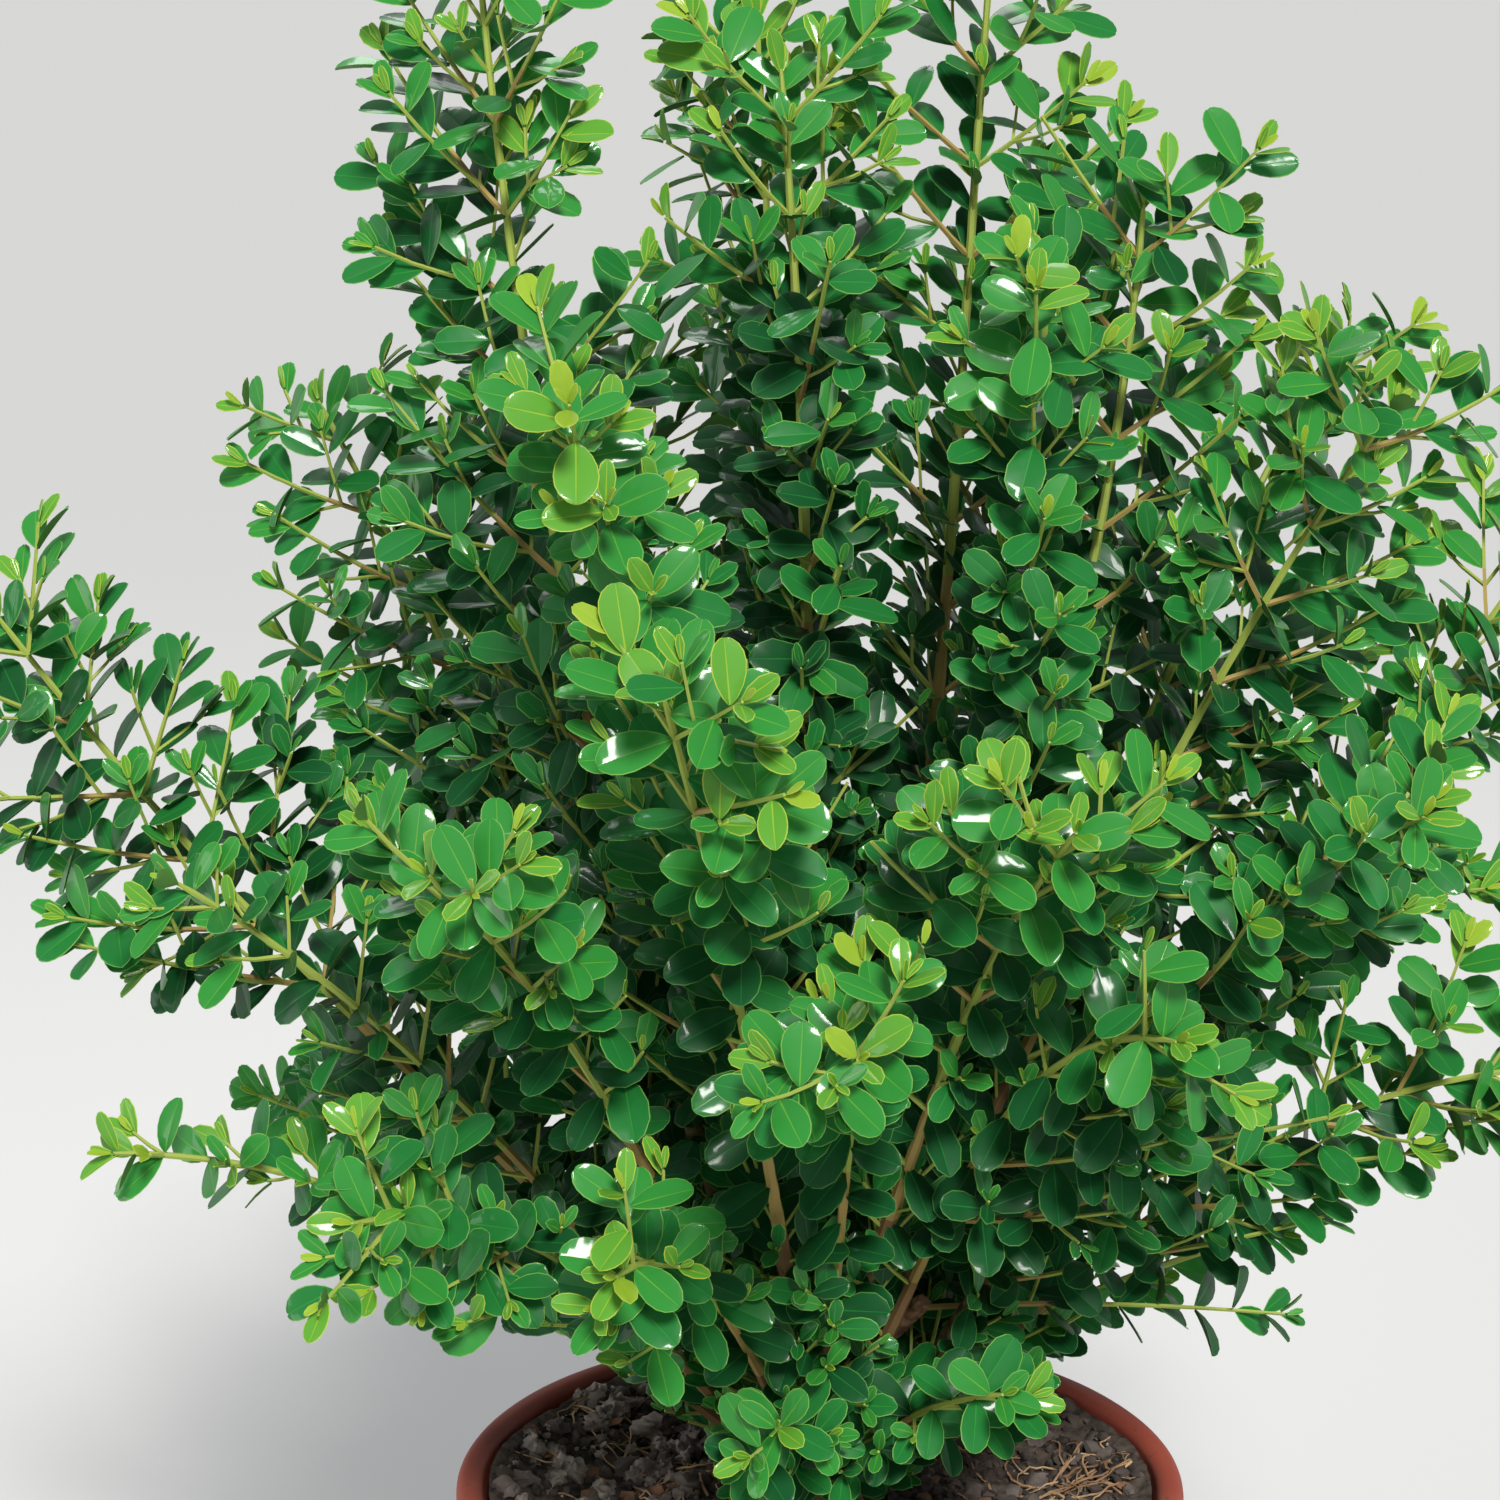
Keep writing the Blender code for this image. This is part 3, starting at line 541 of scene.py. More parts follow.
def trunk_centre(height):
    """The trunk's axis at this height above the ground."""
    lean = math.tan(math.radians(TRUNK_LEAN)) * height
    return Vector((*on_circle(lean, math.radians(TRUNK_LEAN_AZIMUTH)), GROUND + height))


def trunk_radius(height):
    """The trunk's radius at this height, with the spread of its root flare."""
    share = clip(height / TRUNK_HEIGHT)
    flare = max(1 - height / FLARE_HEIGHT, 0.0) ** 2
    even = TRUNK_RADIUS + (TRUNK_TIP_RADIUS - TRUNK_RADIUS) * share
    return even + (FLARE_RADIUS - TRUNK_RADIUS) * flare


def bark_ridges(turn, distance, girth):
    """How far the bark stands out here: long ridges, with finer cracks across them."""
    x, y = math.cos(turn), math.sin(turn)
    ridge = noise.noise(Vector((x * 3.2, y * 3.2, distance * 55 + girth * 900)))
    crack = noise.noise(Vector((x * 7.0, y * 7.0, distance * 330 + girth * 500)))
    return 0.9 * ridge + 0.55 * crack


bark = crumbly("bark", (0.060, 0.043, 0.018), (0.260, 0.195, 0.075), 260, 0.8, 1900)
trunk_points = []
for ring in range(TRUNK_RINGS + 1):
    height = GAP + (TRUNK_HEIGHT - GAP) * ring / TRUNK_RINGS
    centre = trunk_centre(height)
    lobing = FLARE_LOBING * max(1 - height / FLARE_HEIGHT, 0.0)
    closing = math.sqrt(max(1 - max((height - TRUNK_HEIGHT + 0.004) / 0.0045, 0.0) ** 2, 0.0))
    for side in range(TRUNK_SIDES):
        turn = 2 * math.pi * side / TRUNK_SIDES
        reach = trunk_radius(height) * (1 + lobing * math.cos(FLARE_LOBES * turn)) * closing
        reach *= 1 + BARK_RELIEF * bark_ridges(turn, height, 0.0)
        trunk_points.append(centre + Vector((math.cos(turn), math.sin(turn), 0)) * reach)
trunk = mesh_piece("trunk_bark", trunk_points, capped_tube(TRUNK_RINGS + 1, TRUNK_SIDES, 0), [bark])
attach(trunk, "root")
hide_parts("trunk")

# ---------------------------------------------------------------- the shoots' curves
# Long shoots fork from the trunk, in tiers from the foot to the leaders. Each tip is (azimuth,
# reach from the pot's axis, height above the ground), and each shoot finds its own root.
STUB_LENGTH = 0.058
STUB_RADIUS = 0.0024
STUB_AZIMUTH = 322.0
STUB_RISE = 48.0
STUB_FOOT = 0.034
STEM_TIP_RADIUS = 0.0011
LOWEST_ROOT = 0.005  # above the ground, like each tip's height
ROOT_STEP = 0.0005  # between the places tried for a root
SHOOT_RADIUS = 0.0034  # no shoot is thicker
LIMBS_APART = 0.0008
LIMB_CHECKED = 0.75  # share of a shoot, from its root, that has to be clear of the others
LIMB_CHECKS = 150
BOW = 0.04  # how far a shoot bows sideways at most, as a share of its length
SEED = 300
CURVE_STEPS = 48
TIERS = {
    "foot": dict(
        bare=0.28, radius=0.0019, rise=42, tip_rise=20, twig=0.050, bough=False,
        shoots=[(262, 0.108, 0.072), (298, 0.110, 0.078)],
    ),
    "skirt": dict(
        bare=0.25, radius=0.0022, rise=38, tip_rise=6, twig=0.080, bough=False,
        shoots=[
            (30, 0.166, 0.056), (196, 0.215, 0.134), (252, 0.182, 0.140), (226, 0.186, 0.140),
            (352, 0.214, 0.150), (70, 0.196, 0.110), (112, 0.206, 0.124), (152, 0.196, 0.100),
            (18, 0.214, 0.190), (271, 0.215, 0.210), (298, 0.187, 0.199),
        ],
    ),
    "arm": dict(
        bare=0.30, radius=0.0026, rise=40, tip_rise=34, twig=0.088, bough=True,
        shoots=[
            (287, 0.198, 0.262), (328, 0.191, 0.249), (204, 0.199, 0.222), (240, 0.203, 0.248),
            (95, 0.214, 0.245), (55, 0.212, 0.235), (135, 0.216, 0.235),
        ],
    ),
    "shoulder": dict(
        bare=0.29, radius=0.0029, rise=48, tip_rise=56, twig=0.092, bough=True,
        shoots=[
            (186, 0.238, 0.287), (6, 0.208, 0.288), (258, 0.205, 0.300), (242, 0.148, 0.354),
            (338, 0.166, 0.350), (26, 0.178, 0.350), (68, 0.172, 0.345), (112, 0.178, 0.335),
            (155, 0.172, 0.335),
        ],
    ),
    "leader": dict(
        bare=0.27, radius=0.0032, rise=52, tip_rise=86, twig=0.086, bough=True,
        shoots=[
            (310, 0.088, 0.388), (341, 0.091, 0.402), (192, 0.097, 0.464), (108, 0.064, 0.450),
            (24, 0.052, 0.475),
        ],
    ),
    "centre": dict(
        bare=0.26, radius=0.0033, rise=84, tip_rise=88, twig=0.075, bough=False,
        shoots=[(236, 0.024, 0.438)],
    ),
}


def direction(azimuth, rise):
    """The unit vector at these angles, in degrees."""
    a, e = math.radians(azimuth), math.radians(rise)
    return Vector((math.cos(a) * math.cos(e), math.sin(a) * math.cos(e), math.sin(e)))


class Shoot:
    """One long shoot: a cubic curve from the trunk's axis, or from its tip, to its own tip."""

    def __init__(self, name, tier, tip, number):
        azimuth, reach, height = tip
        self.name = name
        self.number = number
        self.tier = tier
        self.random = random.Random(SEED + number)
        self.azimuth = azimuth
        self.steepness = math.atan2(height, reach)
        self.tip = Vector((0, 0, GROUND + height)) + direction(azimuth, 0) * reach
        self.bow = direction(azimuth + 90, 0) * self.random.uniform(-BOW, BOW)

    def root_at(self, root, rise):
        """Places the curve, from its root."""
        span = (self.tip - root).length
        level = Vector((self.tip.x - root.x, self.tip.y - root.y, 0)).length
        outwards = direction(self.azimuth, rise)
        first = root + outwards * max(0.30 * level / math.cos(math.radians(rise)), 0.16 * span)
        end = direction(self.azimuth, self.tier["tip_rise"])
        second = self.tip - end * span * 0.42 + self.bow * span
        self.points = (root, first, second, self.tip)
        self.samples = [self.at(i / CURVE_STEPS) for i in range(CURVE_STEPS + 1)]
        steps = [(b - a).length for a, b in zip(self.samples, self.samples[1:])]
        self.lengths = [sum(steps[:i]) for i in range(len(self.samples))]
        self.length = self.lengths[-1]

    def at(self, t):
        """The point at this step of the cubic curve, from 0 to 1."""
        a, b, c, d = self.points
        s = 1 - t
        return a * s**3 + b * (3 * s * s * t) + c * (3 * s * t * t) + d * t**3

    def along(self, share):
        """(point, unit tangent) at this share of the shoot's length."""
        wanted = clip(share) * self.length
        i = 0
        while i < CURVE_STEPS - 1 and self.lengths[i + 1] < wanted:
            i += 1
        part = (wanted - self.lengths[i]) / (self.lengths[i + 1] - self.lengths[i])
        a, b = self.samples[i], self.samples[i + 1]
        return a.lerp(b, part), (b - a).normalized()

    def radius(self, share):
        """It tapers more slowly at first than near its tip."""
        return STEM_TIP_RADIUS + (self.tier["radius"] - STEM_TIP_RADIUS) * (1 - share) ** 0.9


def clear_of(tree, points, radii, limbs, around):
    """Whether a limb stays clear of the limbs in the tree, past the trunk's surface."""
    for point, radius in limbs:
        if (point - trunk_centre(point.z - GROUND)).length < around:
            continue
        for _, index, distance in tree.find_range(point, radius + SHOOT_RADIUS + LIMBS_APART):
            if distance < radius + radii[index] + LIMBS_APART:
                return False
    return True


def place_roots(shoots, stub):
    """Gives each shoot the lowest place up the trunk from which it is clear of the others.

    They are placed from the flattest to the steepest, so that few have to cross."""
    placed = [stub[0].lerp(stub[1], i / 30) for i in range(31)]
    radii = [STUB_RADIUS] * len(placed)
    for shoot in sorted(shoots, key=lambda shoot: shoot.steepness):
        tree = KDTree(len(placed))
        for index, point in enumerate(placed):
            tree.insert(point, index)
        tree.balance()
        height = LOWEST_ROOT + 0.003
        while height < TRUNK_HEIGHT:
            rise = shoot.tier["rise"]
            sunk = min(trunk_radius(height) * math.tan(math.radians(rise)), height - LOWEST_ROOT)
            shoot.root_at(trunk_centre(height - sunk), rise)
            shares = [LIMB_CHECKED * i / (LIMB_CHECKS - 1) for i in range(LIMB_CHECKS)]
            limbs = [(shoot.along(share)[0], shoot.radius(share)) for share in shares]
            if clear_of(tree, placed, radii, limbs, trunk_radius(height) - 0.001):
                break
            height += ROOT_STEP
        placed += [point for point, _ in limbs]
        radii += [radius for _, radius in limbs]


stub_foot = trunk_centre(STUB_FOOT)
stub_head = stub_foot + direction(STUB_AZIMUTH, STUB_RISE) * STUB_LENGTH
shoots = []
for tier_name, tier in TIERS.items():
    for number, tip in enumerate(tier["shoots"], 1):
        shoots.append(Shoot(f"{tier_name}_{number}", tier, tip, len(shoots)))
place_roots(shoots[:-1], (stub_foot, stub_head))
shoots[-1].root_at(trunk_centre(TRUNK_HEIGHT), shoots[-1].tier["rise"])

# ---------------------------------------------------------------- the boughs and the pruned stub
# Each bough is the bare lower part of a shoot: one tapering limb, swollen where it leaves the
# trunk, in the same bark. The stub is an older side stem, cut off long ago, dry and cracked.
LIMB_SIDES = 14
LIMB_STEP = 0.0016
COLLAR_SWELL = 0.55  # how much thicker a limb is where it leaves the trunk
COLLAR_FADE = 0.006
STUB_SIDES = 18
STUB_STEP = 0.0011
STUB_RELIEF = 0.24
STUB_WAVES = (0.10, 9)  # how far its radius varies, and how often


def bark_limb(centres, radii, girth, relief=BARK_RELIEF, sides=LIMB_SIDES):
    """The points of a limb in ridged bark."""
    distance, ridged = 0.0, []
    rings = tube_points(centres, [1.0] * len(centres), sides).reshape(len(centres), sides, 3)
    for index, (centre, radius) in enumerate(zip(centres, radii)):
        if index:
            distance += (centre - centres[index - 1]).length
        for side in range(sides):
            stand = 1 + relief * bark_ridges(2 * math.pi * side / sides, distance, girth)
            ridged.append(np.array(centre) + (rings[index, side] - np.array(centre)) * radius * stand)
    return ridged


bough_points, bough_faces = [], []
for shoot in shoots:
    if not shoot.tier["bough"]:
        continue
    rings = int(shoot.tier["bare"] * shoot.length / LIMB_STEP)
    shares = [shoot.tier["bare"] * 1.01 * i / (rings - 1) for i in range(rings)]
    centres = [shoot.along(share)[0] for share in shares]
    radii = []
    for centre, share in zip(centres, shares):
        out = (centre - trunk_centre(centre.z - GROUND)).length
        swell = COLLAR_SWELL * math.exp(-max(out - TRUNK_RADIUS, 0.0) / COLLAR_FADE)
        radii.append(shoot.radius(share) * (1 + swell))
    bough_faces += capped_tube(rings, LIMB_SIDES, len(bough_points))
    bough_points += bark_limb(centres, radii, shoot.azimuth)
boughs = mesh_piece("bough_bark", bough_points, bough_faces, [bark])
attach(boughs, "root")
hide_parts(*[f"bough_{shoot.name}" for shoot in shoots if shoot.tier["bough"]])

old_bark = crumbly("old_bark", (0.110, 0.056, 0.028), (0.480, 0.270, 0.145), 300, 0.9, 1500)
stub_rings = int(STUB_LENGTH / STUB_STEP)
centres = [stub_foot.lerp(stub_head, i / (stub_rings - 1)) for i in range(stub_rings)]
waves = [STUB_WAVES[0] * math.sin(STUB_WAVES[1] * i / stub_rings) for i in range(stub_rings)]
radii = [STUB_RADIUS * (1.0 + wave) for wave in waves]
radii[-1] *= 0.82
stub_points = bark_limb(centres, radii, 5.0, STUB_RELIEF, STUB_SIDES)
stub = mesh_piece("pruned_stub_bark", stub_points, capped_tube(stub_rings, STUB_SIDES, 0), [old_bark])
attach(stub, "root")
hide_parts("pruned_stub")

# ---------------------------------------------------------------- how the foliage grows
# Every shoot carries pairs of leaves, each pair turned a quarter from the last, and pairs of side
# twigs that branch once more. A leaf or twig that would leave its shoot's space is left out.
LEAF_LENGTH = 0.0172
NODE_SPACING = 0.0128  # between pairs of leaves on a stem
TWIG_NODE_SPACING = 0.0110
FIRST_NODES = (0.0, 0.0016, 0.0062, 0.0145)  # below the tip, where the pairs stand closer
PAIR_SIZES = (0.36, 0.66, 0.90, 1.0)  # of the same pairs, as shares of a full leaf
PAIR_ANGLES = (13, 27, 39, 45)  # between a leaf and its stem, in degrees
PAIR_WIDTHS = (0.66, 0.80, 0.93, 1.0)  # young leaves are narrower
FULL_ANGLE = 48
TWIG_EVERY = 2  # nodes
TWIG_ANGLE = 47.0
TWIG_SPREAD = 10.0  # how much wider the twigs of an upright stem stand off
TWIG_RISE = 0.30  # how strongly a twig turns up
TWIG_LENGTHS = (1.0, 0.8, 0.6, 0.45)  # shares of the full length that are tried in turn
TWIG_RADIUS = 0.00085
TWIG_TIP_RADIUS = 0.00050
TIP_LEAF_REACH = 0.0075  # from the end of a stem to the tips of its last leaves
TWIGLET_SHARE = 0.60  # of the length of twig that is left beyond it
ALL_TWIGS_BELOW = 0.25  # share of the leafy stem, where every node has twigs
NARROWING = 0.55  # how much shorter the twigs are at the tip
SPRIG_SHARE = 0.75  # of the nodes without a twig, which have a pair of young sprigs
SPRIG_REACH = (0.0135, 0.026)
SHORTEST_TWIG = 0.013
TWIG_STEP = 0.008  # between the rings of a twig,
STEM_STEP = 0.006  # and of a shoot
BROWN_WOOD_ENDS, TAN_WOOD_ENDS = 0.35, 0.55  # shares of a shoot, and the rest is green
SPACE_OVERLAP = 0.003  # how far a shoot's foliage may reach past its own space
LEAF_APART = 0.0052  # between the middles of two leaves
SPRAY_APART = 0.0020  # the same, for two leaves of one spray
TOUCHING = 0.022  # leaves whose middles are closer may cross, and are tested,
SAME_NODE = 0.004  # unless their feet are closer than this
CELL = 0.014  # side of the cells by which a leaf's neighbours are found
BEND_TO_LIGHT = 55.0  # degrees, for a leaf that would point straight at the light
LIGHT_FROM = (0.0, 0.060)  # the light comes from away from this axis, from above,
LIGHT_FROM_FRONT = 1.25  # and more from the front, by this much, for all but the back,
FRONT_ENDS, FRONT_FADE = 0.22, 0.13  # which is past this y, and blends in over this depth
LIGHT_SLOPE = (0.80, 0.60)  # its level and its upward share
LIGHT_SWING = 0.50  # how far a spray's idea of the light swings round, in radians
LEAF_STALK = 0.0008
LEAF_SIZES = (0.86, 1.12)  # shares of LEAF_LENGTH, for a full leaf
LEAF_WIDTHS = (0.54, 0.65)  # shares of the leaf's own length
LEAF_LIFT = 0.10  # how much each leaf is raised
LEAF_FACING = (0.50, 0.85)  # how much a blade faces the stem's tip, and the light
LEAF_ROLL = 0.40  # radians
LEAF_FLESH = 0.0005  # the leaf's thickness in the tests for room
HEM = 0.232  # height of the lowest leaves over the pot's middle, clear of the foot shoots
HEM_SLOPE = 0.40  # and how much lower they hang towards the back
HEM_BREAK = (-0.034, 0.062)  # the foot shoots' place, where leaves hang down to the compost
HEM_DROP = 0.034  # how much lower the hem hangs close to that place
HEM_BREAK_FADE = 0.035
HEM_WAVE, HEM_WAVE_SCALE = 0.014, 28
STUB_GAP = 0.0095  # round the pruned stub, and in front of it, nothing grows
STUB_FRONT = Vector((0, -0.93, 0.37))
STUB_SHOWS_FROM = 0.45  # share of its length
HEART = Vector((0, 0, GROUND + 0.20))  # the middle of the crown, whose leaves are painted darkest, as painted shade
CROWN_REACH = Vector((0.235, 0.215, 0.30))
SHADE_FROM, SHADE_FADE = 0.80, 0.40  # the share of that reach where the painted shade on the leaves begins, and its fade
PAINTED_SHADE = 1.2  # painted shade: how many tones darker the leaves are painted at the heart
LIMB_TWIG_SPACING = 0.0085  # on the bare wood, from the trunk out
LIMB_TWIGS_FROM, LIMB_TWIGS_PAST = 0.010, 0.020  # the shoot's root, and the end of its bare wood
LIMB_TWIGS_EACH = 3
LIMB_TWIG_REACH = (0.016, 0.042)
SLIM_SHOOTS = {"skirt_1": 0.32, "skirt_2": 0.42, "arm_3": 0.50}  # their twigs, as shares of others'
HEM_RISE = 0.020  # of the hem at the right, for all but the slim shoots
HEM_RISE_FROM, HEM_RISE_OVER = 0.05, 0.04  # the x where it rises, and over what width
PAINTED_LIGHT_AND_SHADE_BY_SHOOT = {  # painted shade, and painted light where negative: how many tones deeper or lighter the leaves of some shoots are made
    "shoulder_1": 0.7, "arm_3": 0.6, "shoulder_9": 0.4, "arm_7": 0.4, "skirt_8": 0.3,
    "shoulder_4": -0.15, "shoulder_3": -0.15, "skirt_10": -0.2, "skirt_3": -0.2,
}
LEAFY_SHARE = 0.4  # a twig that finds room for fewer of its leaves than this doesn't grow
LOW_TWIG = 0.108  # length of the thin twig that grows out level from the pruned stub,
LOW_TWIG_FROM = 0.93  # share of the stub where it does
LOW_TWIG_BEND = Vector((0.052, 0.006, 0.001))  # the curve's bend and its end, from its foot
LOW_TWIG_END = Vector((LOW_TWIG, 0.0, -0.002))
LOW_TWIG_STEPS = 16
LOW_TWIG_TAN_STEPS = 6

LEAF_RIM = 5
LEAF_FACES = [(0, 1, 4), (1, 2, 3), (1, 3, 4)]
LEAF_FACES += [((i + 1) % LEAF_RIM, i, LEAF_RIM) for i in range(LEAF_RIM)]


def to_the_light(point, swing):
    """The direction in which a leaf here finds most light: outwards, to the front and up."""
    level = Vector((point.x - LIGHT_FROM[0], point.y - LIGHT_FROM[1], 0)).normalized()
    level.y -= LIGHT_FROM_FRONT * clip((FRONT_ENDS - point.y) / FRONT_FADE)
    level = Matrix.Rotation(swing, 3, "Z") @ level.normalized()
    return (level * LIGHT_SLOPE[0] + Vector((0, 0, LIGHT_SLOPE[1]))).normalized()


def rolled(along, roll):
    """The unit vector square to along, turned this far round it from level."""
    level = Vector((0, 0, 1)).cross(along)
    if level.length < 0.05:
        level = Vector((0, 1, 0)).cross(along)
    return Matrix.Rotation(roll, 3, along) @ level.normalized()


def space_tree(some):
    """The leafy stretches of these shoots, for finding the nearest."""
    points = []
    for shoot in some:
        start = shoot.tier["bare"]
        points += [shoot.along(start + (1 - start) * i / 60)[0] for i in range(61)]
    tree = KDTree(len(points))
    for i, point in enumerate(points):
        tree.insert(point, i)
    tree.balance()
    return tree


stub_way = (stub_head - stub_foot).normalized()


def off_pot(point, hem_rise):
    """Whether this point is clear of the compost and the rim, and above the hem of the crown."""
    radius = math.hypot(point.x, point.y)
    aside = max(HEM_BREAK[0] - point.x, point.x - HEM_BREAK[1])
    hem = HEM - HEM_SLOPE * point.y - HEM_DROP * max(1 - aside / HEM_BREAK_FADE, 0.0)
    right = clip((point.x - HEM_RISE_FROM) / HEM_RISE_OVER)
    hem += HEM_WAVE * noise.noise(point * HEM_WAVE_SCALE) + hem_rise * right
    if aside > 0 and point.z < hem:
        return False
    toward_front = (point - stub_head).dot(STUB_FRONT)
    beside = point - STUB_FRONT * max(toward_front, 0.0)
    if toward_front > -0.012:
        along_stub = clip((beside - stub_foot).dot(stub_way) / STUB_LENGTH, STUB_SHOWS_FROM)
        if (beside - stub_foot.lerp(stub_head, along_stub)).length < STUB_GAP:
            return False
    if radius < RIM_RADIUS - POT_WALL - 0.002:
        return point.z > GROUND + SOIL_MOUND + 0.003
    if radius < RIM_RADIUS + 0.003:
        return point.z > POT_HEIGHT + 0.002
    return point.z > POT_HEIGHT - 0.010


def depth_in_crown(point):
    """From 0 in the crown's outer third to 1 near its heart."""
    offset = point - HEART
    share = math.sqrt(sum((offset[i] / CROWN_REACH[i]) ** 2 for i in range(3)))
    return clip((SHADE_FROM - share) / SHADE_FADE)


class Mass:
    """The foliage of one shoot: its leaves, and the stems that carry them."""

    grown = {}  # every leaf of the bush so far, by the cell that its middle is in

    def __init__(self, shoot, own, others):
        self.shoot = shoot
        self.own = own
        self.others = others
        self.leaves = []
        self.stems = []
        self.cells = []  # where the latest leaves were noted, in order
        self.keeps_to_its_space = True
        self.free_to_hang = False
        self.slimness = SLIM_SHOOTS.get(shoot.name, 1.0)
        self.hem_rise = 0.0 if shoot.name in SLIM_SHOOTS else HEM_RISE
        # painted light and shade for this shoot's leaves, in tones
        self.tone = PAINTED_LIGHT_AND_SHADE_BY_SHOOT.get(shoot.name, 0.0)

    def holds(self, points):
        """Whether all these points are in the shoot's space, and where leaves can hang."""
        for point in points:
            if self.keeps_to_its_space:
                if self.own.find(point)[2] > self.others.find(point)[2] + SPACE_OVERLAP:
                    return False
            if not self.free_to_hang and not off_pot(point, self.hem_rise):
                return False
        return True

    def free_of_leaves(self, base, middle, corners, spray):
        """Whether a leaf crosses no other and crowds none."""
        cell = [int(math.floor(c / CELL)) for c in middle]
        tree = BVHTree.FromPolygons(corners, LEAF_FACES)
        for x in (-1, 0, 1):
            for y in (-1, 0, 1):
                for z in (-1, 0, 1):
                    for other in self.grown.get((cell[0] + x, cell[1] + y, cell[2] + z), ()):
                        apart = (middle - other[1]).length
                        if apart < (SPRAY_APART if other[3] == spray else LEAF_APART):
                            return False
                        if apart < TOUCHING and (base - other[0]).length > SAME_NODE:
                            if tree.overlap(other[2]):
                                return False
        self.grown.setdefault(tuple(cell), []).append((base, middle, tree, spray))
        self.cells.append(tuple(cell))
        return True

    def add_leaf(self, base, along, outwards, angle, size, slim, tone, spray):
        """One leaf, which faces the stem's tip and the light. It bends back where it would point
        at the light, and is raised where it would point away."""
        draw = self.shoot.random
        turn = math.radians(angle + draw.uniform(-7, 7))
        leaf_along = along * math.cos(turn) + outwards * math.sin(turn)
        leaf_along = (leaf_along + Vector((0, 0, LEAF_LIFT))).normalized()
        light = to_the_light(base, self.swing)
        normal = along * LEAF_FACING[0] + light * LEAF_FACING[1]
        normal = (normal - leaf_along * normal.dot(leaf_along)).normalized()
        pointing = leaf_along.dot(light) - 0.10
        pointing *= 1.1 if pointing > 0 else 0.55
        bent = math.radians(BEND_TO_LIGHT * pointing * min(size, 1.0) ** 2 * draw.uniform(0.7, 1.2))
        leaf_along, normal = (
            leaf_along * math.cos(bent) - normal * math.sin(bent),
            normal * math.cos(bent) + leaf_along * math.sin(bent),
        )
        normal = Matrix.Rotation(draw.uniform(-LEAF_ROLL, LEAF_ROLL), 3, leaf_along) @ normal
        length = LEAF_LENGTH * size * draw.uniform(*LEAF_SIZES)
        width = length * draw.uniform(*LEAF_WIDTHS) * slim
        across = leaf_along.cross(normal)
        foot = base + leaf_along * LEAF_STALK
        corners = [foot]
        for x, y, z in ((0.55, 0.46, 0), (0.92, 0.22, -0.05), (0.92, -0.22, -0.05), (0.55, -0.46, 0)):
            corners.append(foot + leaf_along * x * length + across * y * width + normal * z * length)
        corners.append(foot + leaf_along * 0.5 * length - normal * LEAF_FLESH)
        middle = foot + leaf_along * 0.55 * length
        if not self.holds((middle, corners[2], corners[3])):
            return
        if not self.free_of_leaves(base, middle, corners, spray):
            return
        shape = (draw.uniform(0.52, 0.70), draw.uniform(1.6, 2.2), draw.uniform(0.0, 0.38),
                 draw.uniform(-0.04, 0.15), draw.uniform(0.0, 0.02))
        self.leaves.append((foot, leaf_along, normal, length, width, *shape, tone))

    def leafy(self, point_at, length, roll, spacing, tone, bare=0.006, leaf_size=1.0):
        """Pairs of leaves down a stem from its tip, and how many were tried. point_at gives (point,
        tangent) at a distance from the stem's foot."""
        below, index = 0.0, 0
        spray = len(self.stems) + 1000 * self.shoot.number
        self.swing = self.shoot.random.uniform(-LIGHT_SWING, LIGHT_SWING)
        while length - below > bare:
            base, along = point_at(length - below)
            full = index >= len(PAIR_SIZES)
            size = 1.0 if full else PAIR_SIZES[index]
            angle = FULL_ANGLE if full else PAIR_ANGLES[index]
            slim = 1.0 if full else PAIR_WIDTHS[index]
            for side in (0, math.pi):
                outwards = rolled(along, roll + side)
                # painted shade: leaves deep in the crown, and on some shoots, are dealt deeper tones
                shade = self.tone_of(index, tone + self.tone + PAINTED_SHADE * depth_in_crown(base))
                self.add_leaf(base, along, outwards, angle, size * leaf_size, slim, shade, spray)
            roll += math.pi / 2
            index += 1
            below = FIRST_NODES[index] if index < len(FIRST_NODES) else below + spacing
        return 2 * index

    def tone_of(self, index, tone):
        """Leaves go from lime at the tip to deep green, and a spray is lighter or darker as a whole. The
        tone it is given also carries painted shade, deeper towards the crown's heart and on some shoots.
        """
        age = (0.2, 0.9, 1.7, 2.1, 2.4, 2.7, 3.0)[min(index, 6)]
        return clip(int(age + tone + self.shoot.random.uniform(0.0, 1.0)), 0, 4)

    def add_twig(self, base, stem_along, outwards, length, tone, level, leaf_size=1.0):
        """A side twig that turns up to the light. Shorter ones are tried where it has no room."""
        draw = self.shoot.random
        spread = TWIG_SPREAD * max(stem_along.z, 0.0) ** 2 if level == 1 else 0.0
        turn = math.radians(TWIG_ANGLE + spread + draw.uniform(-8, 8))
        along = stem_along * math.cos(turn) + outwards * math.sin(turn)
        along = (along + Vector((0, 0, TWIG_RISE)) * 0.5).normalized()
        bend = Vector((0, 0, TWIG_RISE)) * draw.uniform(0.4, 1.2)
        bend += rolled(along, draw.uniform(0, 6.3)) * 0.08
        roll = draw.uniform(0, math.pi)
        for share in TWIG_LENGTHS:
            reach = length * share - TIP_LEAF_REACH
            if reach < SHORTEST_TWIG - TIP_LEAF_REACH:
                return

            def point_at(distance):
                point = base + along * distance + bend * (distance * distance / (2 * reach))
                return point, (along + bend * (distance / reach)).normalized()

